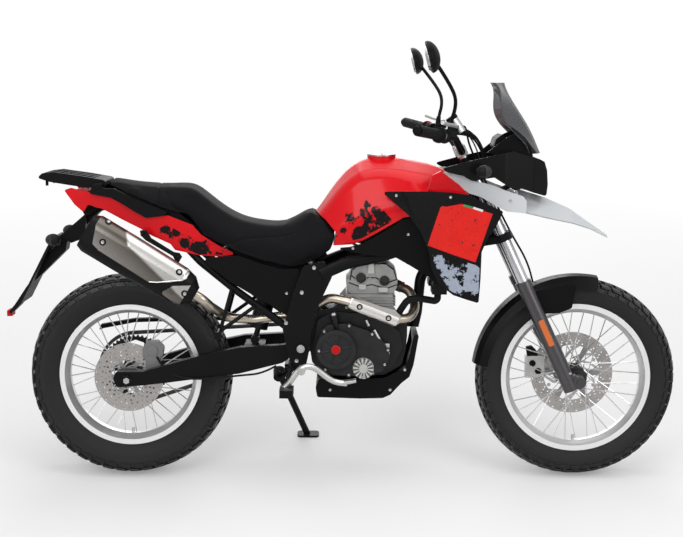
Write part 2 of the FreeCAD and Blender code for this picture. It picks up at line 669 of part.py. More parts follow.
def engine_covers():
    """Right clutch cover with its filter cover, and the left generator cover."""
    inner, gap = size("case_half"), size("seam")
    reach = inner + size("clutch_reach")
    skirt = [(602, 400), (606, 470), (628, 508), (690, 512), (760, 490), (812, 452), (830, 410), (806, 362),
             (740, 345), (650, 350)]
    base = side_pad("CoverBase", skirt, "-Sizes.case_half - Sizes.seam", 30, 24)
    x, z, r = size("clutch_x"), size("clutch_z"), size("clutch_radius")
    drum = rod("ClutchDrum", (x, -inner - gap, z), (x, -reach, z), "Sizes.clutch_radius")
    dish = rod("ClutchDish", (x, -reach + 5, z), (x, -reach - 1, z), "Sizes.clutch_radius - 14")
    cap = rod("ClutchCap", (x, -reach + 5, z), (x, -reach - 2, z), 14)
    fx, fz = size("filter_x"), size("filter_z")
    bowl = rod("FilterCover", (fx, -inner - gap, fz + 4), (fx, -inner - 42, fz + 4), "Sizes.filter_radius")
    bosses = [rod("CoverBoss", (bx, -inner - gap, bz), (bx, -inner - 33, bz), 8)
              for bx, bz in ((622, 488), (606, 430), (626, 366), (700, 506), (772, 480), (822, 430), (812, 384),
                             (775, 356), (700, 350))]
    ribs = []
    for i in range(6):
        turn = math.radians(60 * i + 12)
        ribs.append(rod("CoverRib", (x + 20 * math.cos(turn), -reach + 4, z + 20 * math.sin(turn)),
                        (x + (r - 12) * math.cos(turn), -reach + 4, z + (r - 12) * math.sin(turn)), 3))
    right = cut("RightCover", fuse("RightBlank", [base, drum, bowl] + bosses), dish)
    right = fuse("RightCoverCap", [right, cap] + ribs)
    gx, gz = size("generator_x"), size("generator_z")
    left = fuse("LeftCover", [
        rod("Generator", (gx, inner + gap, gz), (gx, inner + 38, gz), "Sizes.generator_radius"),
        rod("SprocketCover", (646, inner + gap, 440), (646, inner + 16, 440), 44)])
    node(group("EngineCovers", [right, left]), "engine_covers")


def cooling():
    """Radiator behind the left shroud and the hose to the water pump."""
    core = box("RadiatorCore", (962, 1000), (-140, -50), (624, 734))
    tank_top = box("RadiatorTop", (958, 1004), (-140, -50), (734, 752))
    tank_low = box("RadiatorLow", (958, 1004), (-140, -50), (606, 624))
    left = [other_side(p) for p in (core, tank_top, tank_low)]
    tie = rod("RadiatorTie", (966, -60, 652), (966, 60, 652), 5)
    stub = rod("RadiatorStub", (966, 0, 652), (958, 0, 652), 6)
    node(fuse("Radiator", [core, tank_top, tank_low, tie, stub] + left), "radiator")
    y = 13 - size("case_half")
    hose = tube("CoolantHose", [(978, y, 605.6), (978, y, 578), (915, y, 588), (884, y, 583),
                                (860, y, 548), (848, y - 3, 509)], "Sizes.hose_radius", 45)
    node(hose, "coolant_hose")


def exhaust():
    header = [(868.3, -24.2, 611.9), (891, -40, 603.1), (912, -74, 560), (890, -115, 525), (838, -142, 528),
              (760, -142, 560), (700, -142, 582), (640, -118, 592), (585, -100, 560), (500, -78, 528),
              (400, -78, 514), (316, -84, 520), (268, -150, 566), (245.2, -176, 592.5), (222.9, -176, 605.8)]
    node(tube("Header", header, "Sizes.header_radius", 60), "exhaust_header")
    axis = Vector(-0.857, 0, 0.515)
    start = Vector(226, size("muffler_y"), 604)
    sections = []
    for along, tall, wide in ((4, 26, 26), (30, 50, 40), (62, 58, 46), (250, 62, 48), (372, 62, 48), (392, 54, 40)):
        sections.append((along, tall, wide))

    def can(name, grow, first, last):
        body = new_body(name)
        sketches = []
        for along, tall, wide in sections[first:last]:
            sketch = new_sketch(body, "XY_Plane", along)
            t, w = tall + grow, wide + grow
            draw(sketch, [(-t, -w), (t, -w), (t, w), (-t, w)], 0.8 * w)
            sketches.append(sketch)
        feature = body.newObject("PartDesign::AdditiveLoft", name + "Loft")
        feature.Profile = sketches[0]
        feature.Sections = sketches[1:]
        feature.Ruled = True
        body.Placement = Placement(start, Rotation(Vector(0, 0, 1), axis))
        return body
    node(can("Muffler", 0, 0, 6), "muffler")
    gap = size("shield_gap")
    shell = cut("ShieldShell", can("ShieldOuter", gap + size("shield_wall"), 1, 5), can("ShieldInner", gap, 0, 6))
    upper = [(-84, 770), (-64, 866), (20, 808), (182, 708), (212, 680), (198, 660), (140, 651), (85, 653), (-66, 750)]
    lower = [(120, 619), (160, 641), (226, 642), (236, 604), (222, 580), (190, 566)]
    front = side_pad("ShieldFace", upper, "Sizes.muffler_y", 90, 10)
    small = side_pad("ShieldSmall", lower, "Sizes.muffler_y", 90, 8)
    shields = common("MufflerShields", [shell, group("ShieldAreas", [front, small])])
    plate = [(699, 582), (713, 594), (749, 587), (800, 570), (842, 560), (862, 537), (853, 513), (798, 527),
             (737, 549), (699, 565)]
    header_shield = side_pad("HeaderShield", plate, "-157.6", 2.5, 8)
    node(group("ExhaustShields", [shields, header_shield]), "exhaust_shields")


def skid_plate():
    outer = [(595, 300), (600, 270), (737, 266), (808, 268), (832, 279), (867, 317), (892, 337), (905, 378),
             (920, 468), (914, 476), (903, 462), (893, 414), (880, 366), (812, 333), (700, 326), (605, 330)]
    body = side_pad("SkidOuter", outer, "Sizes.case_half - 4", "2 * Sizes.case_half - 8", 8)
    hollow = [(560, 306), (620, 300), (737, 278), (808, 280), (826, 288), (862, 326), (885, 344), (898, 388),
              (906, 420), (903, 490), (880, 500), (700, 500), (560, 500)]
    inside = side_pad("SkidInner", hollow, "Sizes.case_half - 4 - Sizes.skin",
                      "2 * Sizes.case_half - 8 - 2 * Sizes.skin", 4)
    posts = [rod("SkidPost", (700, y, 272), (700, y, 332.6), 8) for y in (-60, 60)]
    node(fuse("SkidWithPosts", [cut("SkidPlate", body, inside)] + posts), "skid_plate")


# Bodywork

def fuel_tank():
    halves = [(575, [(0, 740), (60, 735), (80, 800), (56, 830), (0, 842)]),
              (650, [(0, 720), (112, 715), (124, 800), (92, 905), (0, 942)]),
              (740, [(0, 740), (124, 735), (148, 850), (110, 978), (0, 1023)]),
              (830, [(0, 770), (134, 765), (162, 880), (118, 988), (0, 1032)]),
              (920, [(0, 790), (134, 785), (160, 900), (112, 975), (0, 1017)]),
              (1000, [(0, 800), (100, 795), (112, 905), (78, 958), (0, 991)])]
    body = loft("TankForm", "YZ_Plane", [(x, mirrored_outline(half), 26) for x, half in halves])
    side = [(560, 882), (625, 834), (661, 793), (649, 756), (710, 761), (739, 773), (772, 791), (820, 820),
            (866, 848), (1000, 868), (1000, 1080), (560, 1080)]
    outline = side_pad("TankSide", side, "200", 400, 0)
    cap_x = size("cap_x")
    well = rod("CapWell", (cap_x, 0, 1014), (cap_x, 0, 1100), "Sizes.cap_radius + Sizes.cap_clearance")
    neck = rod("CapNeck", (cap_x, 0, 1000), (cap_x, 0, 1030), "Sizes.cap_radius + Sizes.cap_clearance + 6")
    form = fuse("TankWithNeck", [common("TankShape", [body, outline]), neck])
    node(cut("FuelTank", form, well), "fuel_tank")
    cap = fuse("CapJoined", [rod("CapDisc", (cap_x, 0, 1019), (cap_x, 0, 1034), "Sizes.cap_radius"),
                             rod("CapRim", (cap_x, 0, 1030.6), (cap_x, 0, 1036),
                                 "Sizes.cap_radius + Sizes.cap_clearance + 6")])
    node(cap, "fuel_cap")


def seat():
    rows = [(-62, 905, 88, 936, 957), (0, 880, 102, 922, 950), (60, 855, 114, 905, 943), (130, 828, 120, 893, 940),
            (185, 806, 125, 882, 941), (212, 782, 128, 864, 935), (240, 760, 130, 842, 916), (300, 720, 134, 800, 870),
            (360, 694, 132, 772, 839), (430, 667, 127, 750, 824), (500, 645, 121, 742, 826),
            (545, 643, 120, 748, 848), (600, 656, 120, 770, 880), (668, 680, 121, 800, 908)]
    stations = []
    for x, base, half, waist, top in rows:
        side = [(0, base), (half - 8, base - 3), (half, waist), (0.72 * half, top - 11), (0, top)]
        stations.append((x, mirrored_outline(side), 18))
    body = loft("SeatForm", "YZ_Plane", stations)
    side = [(-60, 1000), (545, 1000), (545, 892), (584.6, 857.2), (623.6, 832.8), (658.6, 791.8), (644.5, 742), (609, 714),
            (561, 693), (520, 680), (426, 705), (358, 729), (291, 759), (243, 786), (210, 827), (196, 847),
            (149, 857), (116, 867), (35, 901), (-60, 937)]
    outline = side_pad("SeatSide", side, "200", 400, 0)
    node(common("Seat", [body, outline]), "seat")


def side_covers():
    """Black covers below the tank and behind the frame spar."""
    tank_cover = [(652, 751), (700, 755), (745, 768), (780, 788), (830, 818), (866, 842), (905, 846), (940, 800),
                  (952, 735), (985, 625), (950, 660), (894, 694), (839, 725), (784, 727), (748, 730), (700, 742)]
    front = fuse("TankCoverBoss", [side_pad("TankCoverPlate", tank_cover, "-144", "Sizes.skin", 8),
                                   rod("CoverBoss", (800, -144.5, 734), (800, -131.3, 734), 7)])
    cover = [(234, 715), (353, 724), (425, 698), (487, 682), (546, 684), (530, 600), (510, 530), (470, 560),
             (404, 596), (326, 642)]
    rear = fuse("SideCoverBoss", [side_pad("SideCoverPlate", cover, "-126", "Sizes.skin", 10),
                                  rod("CoverBoss", (400, -127, 684), (400, -90.6, 684), 7)])
    pair = [front, rear]
    node(group("SideCovers", pair + [other_side(p) for p in pair]), "side_covers")


def shrouds():
    shape = [(796, 929), (932, 932), (1005, 931), (1061, 923), (1094, 906), (1132, 889), (1169, 872), (1151, 833),
             (1121, 787), (1104, 748), (1102, 664), (1097, 589), (1061, 600), (1018, 615), (971, 650),
             (948, 702), (944, 742), (918, 806), (880, 858)]
    shell = side_pad("ShroudArea", shape, "-166", 80, 6)
    bend = []
    wall = size("skin")
    for x, y in ((780, 168), (900, 192), (1010, 212), (1175, 196)):
        bend.append((x, -y))
    inner = [(x, y + wall) for x, y in reversed(bend)]
    ribbon = plan_pad("ShroudRibbon", bend + inner, 560, 400)
    skin = common("Shroud", [shell, ribbon])
    ear = box("ShroudEar", (850, 876), (-190, -156.8), (904, 916))
    node(both_sides("Shrouds", fuse("ShroudEars", [skin, ear])), "shrouds")


def tail():
    """Tail side panels, the rear mudguard with its plate holder, the lamp and the rack."""
    panel = [(-190, 924), (-168, 931), (-115, 918), (-48, 902), (20, 866), (60, 843), (134, 846), (209, 817),
             (236, 787), (290, 753), (348, 725), (290, 718), (228, 722), (154, 738), (140, 757), (79, 784),
             (46, 805), (-8, 832), (-69, 865), (-116, 879), (-130, 855), (-157, 878)]
    side = side_pad("TailSide", panel, "-104", "Sizes.skin", 5)
    bridge = box("TailBridge", (-172, -120), (-104.5, 104.5), (908, 918))
    node(fuse("TailFairing", [side, other_side(side), bridge]), "tail_fairing")
    lamp = side_pad("TailLamp", [(-186, 907.6), (-122, 907.6), (-122, 868), (-132, 860), (-157, 878)], "80", 160, 3)
    node(lamp, "tail_lamp")
    rack = [(-277, 960), (-262, 974), (-226, 978), (-136, 966), (-72, 955), (-64, 951), (-66, 932), (-90, 938),
            (-116, 929), (-178, 938), (-240, 948)]
    deck = side_pad("RackDeck", rack, "88", 176, 6)
    slots = [box("RackSlot", (-236, -100), (y - 15, y + 15), (900, 1000)) for y in (-52, 0, 52)]
    arm = [(-100, 940), (-60, 930), (-33, 930), (20, 902), (135, 857), (120, 846), (66, 839), (28, 860),
           (-36, 900), (-110, 914)]
    rail = side_pad("RackArm", arm, "-108.4", 9, 6)
    foot = box("RackFoot", (-98, -72), (-120, -80), (932, 944))
    parts = [cut("RackOpen", deck, fuse("RackSlots", slots))]
    parts += [rail, other_side(rail), foot, other_side(foot)]
    parts += [rod("RackPeg", (-252, y, 962), (-252, y, 934), 4.5) for y in (-58, 58)]
    node(fuse("LuggageRack", parts), "luggage_rack")
    under = [(-388, 528), (-368, 552), (-336, 600), (-236, 742), (-214, 775), (-148, 820), (-118, 860),
             (-104, 871.4), (-48, 871.4), (-48, 860), (-90, 852), (-130, 812), (-198, 752), (-202, 726),
             (-318, 612), (-356, 545), (-382, 520)]
    guard = side_pad("PlateArm", under, "32", 64, 6)
    plate = side_pad("NumberPlate", [(-230, 770), (-338, 560), (-344, 563), (-236, 773)], "85", 170, 0)
    light = box("PlateReflector", (-396, -380), (-24, 24), (512, 530))
    node(fuse("PlateHolder", [guard, plate, light]), "plate_holder")


def pod(centre):
    """Egg-shaped indicator body, longest fore and aft."""
    egg = doc.addObject("Part::Ellipsoid", "IndicatorPod")
    egg.setExpression("Radius1", "Sizes.indicator_radius")
    egg.setExpression("Radius2", "Sizes.indicator_length")
    egg.setExpression("Radius3", "Sizes.indicator_radius")
    egg.Placement = Placement(Vector(*centre), Rotation())
    return egg


def indicators():
    lenses = []
    for s in (-1, 1):
        stalk = rod("RearStalk", (-222, s * 34.2, 746), (-220, s * 132, 770), 8)
        lenses.append(fuse("RearIndicator", [stalk, pod((-220, s * 142, 772))]))
        stalk = rod("FrontStalk", (1100, s * 163.9, 990), (1104, s * 210, 994), 8)
        lenses.append(fuse("FrontIndicator", [stalk, pod((1105, s * 228, 996))]))
    node(group("Indicators", lenses), "indicators")


def front_fairing():
    """Cowl with the lamp, the screen, the high front blade and the instrument."""
    wall = size("skin")
    profile = [(979, 1000), (1068, 1024), (1161, 1045), (1203, 1053), (1240, 1041), (1290, 1027), (1308, 1018),
               (1318, 990), (1322, 945), (1317, 909), (1267, 925), (1231, 938), (1208, 932), (1172, 955),
               (1143, 973), (1075, 963), (1049, 978), (1000, 988)]
    side = side_pad("CowlSide", profile, "200", 400, 8)
    plan = [(960, 163), (1060, 166), (1180, 158), (1270, 118), (1324, 60), (1324, -60), (1270, -118), (1180, -158),
            (1060, -166), (960, -163)]
    outer = plan_pad("CowlPlan", plan, 880, 200, 30)
    hollow = [(940, 163 - wall), (1060, 166 - wall), (1178, 157 - wall), (1262, 116 - wall), (1306, 56),
              (1306, -56), (1262, wall - 116), (1178, wall - 157), (1060, wall - 166), (940, wall - 163)]
    inner = plan_pad("CowlInside", hollow, 860, 400, 30)
    opening = side_pad("CowlOpening", [(900, 860), (900, 1100), (1196, 1100), (1214, 1048), (1240, 1036), (1286, 1022),
                                       (1302, 1012), (1310, 985), (1313, 945), (1309, 860)], "158", 316, 4)
    hole = common("CowlCore", [inner, opening])
    lamp_hole = box("LampHole", (1280, 1340), (-58.4, 58.4), (923.6, 1008.4))
    posts = [rod("ScreenPost", (1262, s * 66, 1030), (1266.8, s * 66, 1053.2), 5) for s in (-1, 1)]
    shell = cut("CowlShell", common("CowlOuter", [side, outer]), fuse("CowlHoles", [hole, lamp_hole]))
    node(fuse("CowlWithPosts", [shell] + posts), "front_cowl")
    lens = side_pad("HeadLens", [(1286, 1008), (1306, 1006), (1320, 975), (1322, 945), (1320, 924), (1286, 924)],
                    "58", 116, 4)
    bowl = box("LampBowl", (1236, 1290), (-56, 56), (927.3, 1000))
    node(fuse("Headlamp", [lens, bowl]), "headlamp")


def windscreen():
    stations = [(1042, 1303, 1256, 95), (1090, 1282, 1228, 112), (1150, 1249, 1176, 118), (1205, 1213, 1166, 108),
                (1262, 1186, 1152, 84)]
    sections = []
    for z, front, back, half in stations:
        outer = [(back, -half), (front - 14, -0.55 * half), (front, 0), (front - 14, 0.55 * half), (back, half)]
        inner = [(x - 3.2, y) for x, y in reversed(outer)]
        sections.append((z, outer + inner, 0))
    body = loft("Screen", "XY_Plane", sections)
    node(body, "windscreen")


def beak():
    stations = [(1232, 146, 868, 928), (1320, 118, 846, 901), (1400, 84, 828, 866), (1460, 54, 808, 824),
                (1522, 14, 777, 782)]
    sections = []
    wall = size("skin")
    for x, half, edge, crest in stations:
        outer = [(-half, edge), (-0.5 * half, 0.35 * edge + 0.65 * crest), (0, crest),
                 (0.5 * half, 0.35 * edge + 0.65 * crest), (half, edge)]
        drop = min(wall, 0.5 * (crest - edge) + 1.5)
        inner = [(0.94 * y, z - drop) for y, z in reversed(outer)]
        sections.append((x, outer + inner, 0))
    blade = loft("Blade", "YZ_Plane", sections, True)
    arm = [(976, 989), (1023, 986), (1049, 976), (1075, 962), (1105, 957), (1143, 948), (1176, 934), (1236, 914),
           (1246, 900), (1246, 862), (1184, 868), (1141, 890), (1105, 912), (1067, 923)]
    side = side_pad("BeakArm", arm, "-142", "Sizes.skin", 4)
    node(fuse("Beak", [blade, side, other_side(side)]), "beak")


def dashboard():
    shape = [(1150, 1062), (1158, 1090), (1176, 1102), (1184, 1094), (1172, 1050), (1160, 1046)]
    panel = side_pad("Instrument", shape, "70", 140, 4)
    stay = side_pad("DashStay", [(1162, 1062), (1182, 1062), (1213, 1050), (1213, 1038), (1166, 1040)], "40", 80, 0)
    node(fuse("Dashboard", [panel, stay]), "dashboard")


# Controls below the frame

def footpegs():
    parts = []
    for s in (-1, 1):
        inner = size("plate_inner") + size("plate_thickness")
        boss = rod("PegBoss", (516, s * (inner + 0.3), 372), (516, s * (inner + 16), 372), 12)
        bracket = rod("PegArm", (516, s * (inner + 9), 371), (505, s * (inner + 28), 316), 8)
        peg = box("Peg", (486, 528), sorted((s * (inner + 20), s * (inner + 102))), (298, 322))
        parts.append(fuse("RiderPeg", [boss, bracket, peg]))
        legs = [rod("PegStay", (332, s * 126, 618), (296, s * 135, 486), 6),
                rod("PegStay", (404, s * 130, 564), (296, s * 135, 486), 6),
                rod("RearPeg", (296, s * 128, 484), (296, s * 214, 484), 12)]
        parts.append(fuse("PillionPeg", legs))
    node(group("Footpegs", parts), "footpegs")


def foot_controls():
    wall = size("plate_inner") + size("plate_thickness") + 0.3
    y = -(wall + 46)
    pedal = tube("BrakePedal", [(552, y + 12, 364), (562, y, 378), (584, y, 382), (608, y, 368), (636, y, 343),
                                (664, y, 333), (692, y - 4, 335), (718, y - 12, 339)], 7.5, 24)
    pivot = rod("PedalPivot", (552, -wall, 364), (552, y + 8, 364), 10)
    lever = tube("ShiftLever", [(560, -y - 20, 372), (590, -y - 6, 374), (660, -y, 360), (700, -y, 350)], 6, 24)
    toe = rod("ShiftToe", (700, -y - 6, 350), (700, -y + 24, 350), 9)
    hinge = rod("ShiftPivot", (560, wall, 372), (560, -y - 14, 372), 10)
    node(group("FootControls", [fuse("Pedal", [pedal, pivot]), fuse("Shift", [lever, toe, hinge])]),
         "foot_controls")


def shock():
    low, high = (398, 0, 438.4), (452, 0, 643.6)
    direction = Vector(*high) - Vector(*low)
    parts = [rod("ShockRod", low, high, 9)]

    def at(share):
        return tuple(Vector(*low) + direction * share)
    parts.append(rod("ShockSpring", at(0.18), at(0.72), 30))
    parts.append(rod("ShockBody", at(0.62), at(0.97), 22))
    parts.append(rod("ShockEye", (452, -24, 643.6), (452, 24, 643.6), 15))
    parts.append(rod("ShockFoot", (398, -20, 438.4), (398, 20, 438.4), 14))
    node(fuse("ShockJoined", parts), "shock_absorber")


def rear_caliper():
    y = size("rear_disc_y")
    body = side_pad("RearCaliper", [(46, 386), (106, 382), (114, 424), (94, 446), (58, 442), (46, 420)],
                    "Sizes.rear_disc_y + 16", 33, 12)
    pistons = rod("PistonBoss", (78, y - 21, 414), (78, y - 16, 414), 17)
    slot = box("CaliperSlot", (40, 120), (y - 4.5, y + 4.5), (300, 431))
    arm = -size("arm_inner") + 0.3
    carrier = box("RearCarrier", (56, 104), (arm, y - 8), (348, 400))
    node(fuse("RearCaliperCarried", [cut("RearCaliperCut", body, slot), carrier, pistons]), "rear_caliper")


def chain_guard():
    arc = [(-118, 452), (-112, 470), (0, 490), (80, 493), (200, 495), (420, 500), (420, 489), (200, 484),
           (80, 481), (0, 478), (-102, 458)]
    guard = side_pad("GuardTop", arc, "Sizes.chain_y + 12", 23, 2)
    inner = size("arm_inner")
    leg = fuse("GuardLeg", [box("GuardStay", (236, 246), (inner + 2, inner + 8), (409.2, 494)),
                            box("GuardFoot", (236, 246), (size("chain_y") + 4, inner + 8), (486, 492))])
    node(fuse("ChainGuard", [guard, leg]), "chain_guard")


# Fork and handlebar, which turn about the raked steering axis

def fork():
    spread, offset = size("fork_spread"), size("fork_offset")
    gap = size("fork_clearance")
    top = size("clamp_top") + size("clamp_height") + 6
    low = size("lower_top")
    tubes = [rod("Stanchion", (offset, s * spread, low - 160), (offset, s * spread, top), "Sizes.stanchion_radius")
             for s in (-1, 1)]
    node(group("Stanchions", tubes), "fork_stanchions", STEER)
    drop = -size("axle_drop")
    lowers = []
    lead = AXLE_LOCAL.x
    for s in (-1, 1):
        leg = rod("LowerLeg", (offset, s * spread, drop - 14), (offset, s * spread, low), "Sizes.lower_radius")
        collar = rod("DustSeal", (offset, s * spread, low - 22), (offset, s * spread, low + 6),
                     "Sizes.lower_radius + 1.5")
        lug = rod("AxleLug", (lead, s * (spread - 20), drop), (lead, s * (spread + 20), drop), 20)
        web = box("AxleWeb", (offset, lead), sorted((s * (spread - 16), s * (spread + 16))), (drop - 16, drop + 26))
        bore = rod("LegBore", (offset, s * spread, low - 160 - gap), (offset, s * spread, low + 100),
                   "Sizes.stanchion_radius + Sizes.fork_clearance")
        lowers.append(cut("LowerCut", fuse("Lower", [leg, collar, lug, web]), bore))
    axle = rod("FrontAxle", (lead, -spread - 26, drop), (lead, spread + 26, drop), "Sizes.axle_radius")
    node(fuse("ForkLowers", lowers + [axle]), "fork_lowers", STEER)


def triple_clamps():
    spread, offset, height = size("fork_spread"), size("fork_offset"), size("clamp_height")
    parts = []
    for z in (size("clamp_top"), size("clamp_bottom") - height):
        plate = [(-26, -22), (offset - 14, -spread - 26), (offset + 24, -spread - 24), (offset + 32, -spread + 14),
                 (26, -24), (26, 24), (offset + 32, spread - 14), (offset + 24, spread + 24),
                 (offset - 14, spread + 26), (-26, 22)]
        parts.append(plan_pad("Clamp", plate, z, "Sizes.clamp_height", 10))
    stem = rod("Stem", (0, 0, size("clamp_bottom") - 6), (0, 0, size("clamp_top") + height + 8), "Sizes.stem_radius")
    half, low, top = size("head_half") + size("fork_clearance"), size("clamp_bottom"), size("clamp_top")
    parts.append(rod("LowerRace", (0, 0, low - 1), (0, 0, -half), 22))
    parts.append(rod("UpperRace", (0, 0, half), (0, 0, top + 1), 22))
    bores = [rod("ClampBore", (offset, s * spread, -400), (offset, s * spread, 400),
                 "Sizes.stanchion_radius + Sizes.fork_clearance") for s in (-1, 1)]
    body = cut("ClampsBored", fuse("ClampsJoined", parts + [stem]), fuse("ClampBores", bores))
    risers = [rod("Riser", (29, s * 36, size("clamp_top") + height - 1), (29, s * 36, 193), 13) for s in (-1, 1)]
    blocks = [box("BarClamp", (11, 47), (s * 36 - 14, s * 36 + 14), (178, 209)) for s in (-1, 1)]
    hole = rod("BarSeat", (29, -100, 193), (29, 100, 193), "Sizes.bar_radius + Sizes.grip_clearance")
    node(cut("TripleClamps", fuse("ClampsWithRisers", [body] + risers + blocks), hole), "triple_clamps", STEER)


BAR = [(29, 0, 193), (29, 84, 193), (22, 152, 250), (-8, 270, 272), (-79, 411, 328)]


def handlebar():
    points = [flip(p) for p in reversed(BAR[1:])] + BAR[1:]
    node(tube("BarTube", points, "Sizes.bar_radius", 60), "handlebar", STEER)
    inner, end = Vector(*BAR[3]), Vector(*BAR[4])
    along = (end - inner)
    along.normalize()
    grips, controls = [], []
    for s in (-1, 1):
        def at(distance, side=s):
            point = inner + along * distance
            return (point.x, side * point.y, point.z)
        sleeve = rod("Grip", at(38), at((end - inner).Length + 4), "Sizes.grip_radius")
        collar = rod("GripFlange", at(38), at(44), "Sizes.grip_radius + 8")
        hole = rod("GripHole", at(0), at((end - inner).Length + 0.3), "Sizes.bar_radius + Sizes.grip_clearance")
        grips.append(cut("GripCut", fuse("GripBody", [sleeve, collar]), hole))
        switch = rod("SwitchBody", at(4), at(36), 21)
        perch = box("LeverPerch", (-6, 34), sorted((s * 264, s * 287)), (262, 288))
        lever = tube("Lever", [(28, s * 276, 278), (36, s * 306, 284), (8, s * 380, 306), (-6, s * 412, 320)], 6, 40)
        pump = rod("BrakePump", (24, s * 280, 276), (38, s * 240, 276), 9)
        pot = rod("Reservoir", (40, s * 247, 262), (32, s * 247, 314), 17)
        solids = [switch, perch, lever] + ([pump, pot] if s < 0 else [])
        bore = rod("ControlBore", at(-20), at(80), "Sizes.bar_radius + Sizes.grip_clearance")
        controls.append(cut("ControlCut", fuse("Controls", solids), bore))
    node(group("Grips", grips), "grips", STEER)
    node(group("HandControls", controls), "hand_controls", STEER)


def mirrors():
    """Mirrors are placed on the upright machine and turn with the handlebar."""
    parts = []
    for s in (-1, 1):
        stem = tube("MirrorStem", [(995.8, s * 278, 1127.2), (983, s * 279, 1154.6), (1003, s * 300, 1200), (972, s * 350, 1268),
                                   (944, s * 400, 1312)], 5, 40)
        body = new_body("MirrorHousing")
        sketch = draw(new_sketch(body, "XY_Plane"), [(-76, -44), (60, -52), (76, 20), (56, 50), (-60, 46), (-80, 10)], 30)
        pad(body, sketch, 26)
        facing = Rotation(Vector(0, 1, 0), 76).multiply(Rotation(Vector(0, 0, 1), 90))
        body.Placement = Placement(Vector(922, s * 430, 1334), facing)
        parts.append(fuse("Mirror", [stem, body]))
    node(group("Mirrors", parts), "mirrors")


def front_fender():
    inner = size("front_tyre_outer") + size("fender_gap")
    wall = size("fender_wall")
    outer = inner + wall
    half = [(0, outer), (34, outer - 4), (58, outer - 18), (68, outer - 44), (68 - wall, outer - 44),
            (58 - wall, outer - 18 - wall), (32, inner - 4), (0, inner)]
    profile = half + [(-y, r) for y, r in reversed(half) if y > 0]
    body = revolve("FenderArc", profile, "93")
    turn = Rotation(Vector(0, 1, 0), -82)
    tab = []
    for s in (-1, 1):
        side = [(-60, 300), (-10, 310), (-24, 232), (-64, 216), (-140, 214), (-176, 246), (-168, 284), (-120, 292)]
        face = size("fork_spread") - size("lower_radius") - 0.3
        y_from = "%g" % (face if s > 0 else size("fender_wall") - face)
        tab.append(side_pad("FenderTab", side, y_from, "Sizes.fender_wall", 10))
    body.Placement = Placement(Vector(0, 0, 0), turn)
    node(fuse("FrontFender", [body] + tab), "front_fender", front_place)


def front_caliper():
    y = size("front_disc_y")
    body = box("FrontCaliper", (1278, 1340), (y - 14, y + 17), (306, 378))
    slot = box("FrontSlot", (1290, 1400), (y - 4.5, y + 4.5), (280, 400))
    face = size("fork_spread") - size("lower_radius") - 0.3
    carrier = box("CaliperCarrier", (1326, 1384), (face - 4.5, face), (326, 362))
    node(fuse("FrontCaliperCarried", [cut("FrontCaliperCut", body, slot), carrier]), "front_caliper")


# Side stand

def side_stand():
    pin = size("stand_pin") + size("fork_clearance")
    leg = rod("StandLeg", STAND_HINGE, STAND_FOOT, "Sizes.stand_radius")
    boss = rod("StandBoss", STAND_HINGE - STAND_AXIS * 13, STAND_HINGE + STAND_AXIS * 13, 20)
    pad_body = new_body("StandFoot")
    sketch = draw(new_sketch(pad_body, "XY_Plane"), [(-34, -22), (40, -22), (40, 22), (-34, 22)], 12)
    pad(pad_body, sketch, 7)
    tilt = Rotation(Vector(1, 0, 0), size("lean"))
    pad_body.Placement = Placement(STAND_FOOT + Vector(0, 0, -4 / math.cos(math.radians(size("lean")))), tilt)
    bore = rod("StandBore", STAND_HINGE - STAND_AXIS * 40, STAND_HINGE + STAND_AXIS * 40, pin)
    node(cut("SideStand", fuse("StandJoined", [leg, boss, pad_body]), bore), "side_stand")


engine()
engine_covers()
cooling()
exhaust()
skid_plate()
fuel_tank()
seat()
side_covers()
shrouds()
tail()
indicators()
front_fairing()
windscreen()
beak()
dashboard()
footpegs()
foot_controls()
shock()
rear_caliper()
chain_guard()
fork()
triple_clamps()
handlebar()
mirrors()
front_fender()
front_caliper()
side_stand()


# Lean onto the stand, with the origin at the bottom centre, then check and write

def placed_box():
    """Extent of the placed pieces, from their facets."""
    whole = FreeCAD.BoundBox()
    for obj, place in nodes:
        for point in obj.Shape.tessellate(0.3)[0]:
            whole.add(point)
    return whole


doc.recompute()
lean = Placement(Vector(), Rotation(Vector(1, 0, 0), -size("lean")))
for obj, place in nodes:
    obj.Placement = lean.multiply(place).multiply(obj.Placement)
limits = placed_box()
shift = Placement(Vector(-limits.Center.x, -limits.Center.y, -limits.ZMin), Rotation())
for obj, place in nodes:
    obj.Placement = shift.multiply(obj.Placement)

for obj in doc.Objects:
    if "Invalid" in obj.State or "Error" in obj.State:
        raise RuntimeError("%s (%s) failed: %s" % (obj.Name, obj.Label, obj.State))
os.makedirs("parts", exist_ok=True)
for obj, place in nodes:
    if obj.Shape.isNull() or not obj.Shape.isValid() or not obj.Shape.Solids:
        raise RuntimeError("%s has no valid solid" % obj.Label)
    obj.Shape.exportStep("parts/%s.step" % obj.Label)
print("overall", limits.XLength, limits.YLength, limits.ZLength, "nodes", len(nodes))
print("shift", shift.Base)
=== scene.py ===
"""Looks of a dual sport motorcycle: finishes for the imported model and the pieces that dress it.

Places are given in millimetres on the upright machine (X forward, Y left, Z up, rear axle above X = 0)
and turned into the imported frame, where the machine leans on its side stand.
"""
import json
import math

import bmesh
import bpy
import numpy as np
from bpy.props import FloatProperty, FloatVectorProperty, IntProperty, PointerProperty
from mathutils import Matrix, Vector
from mathutils.bvhtree import BVHTree


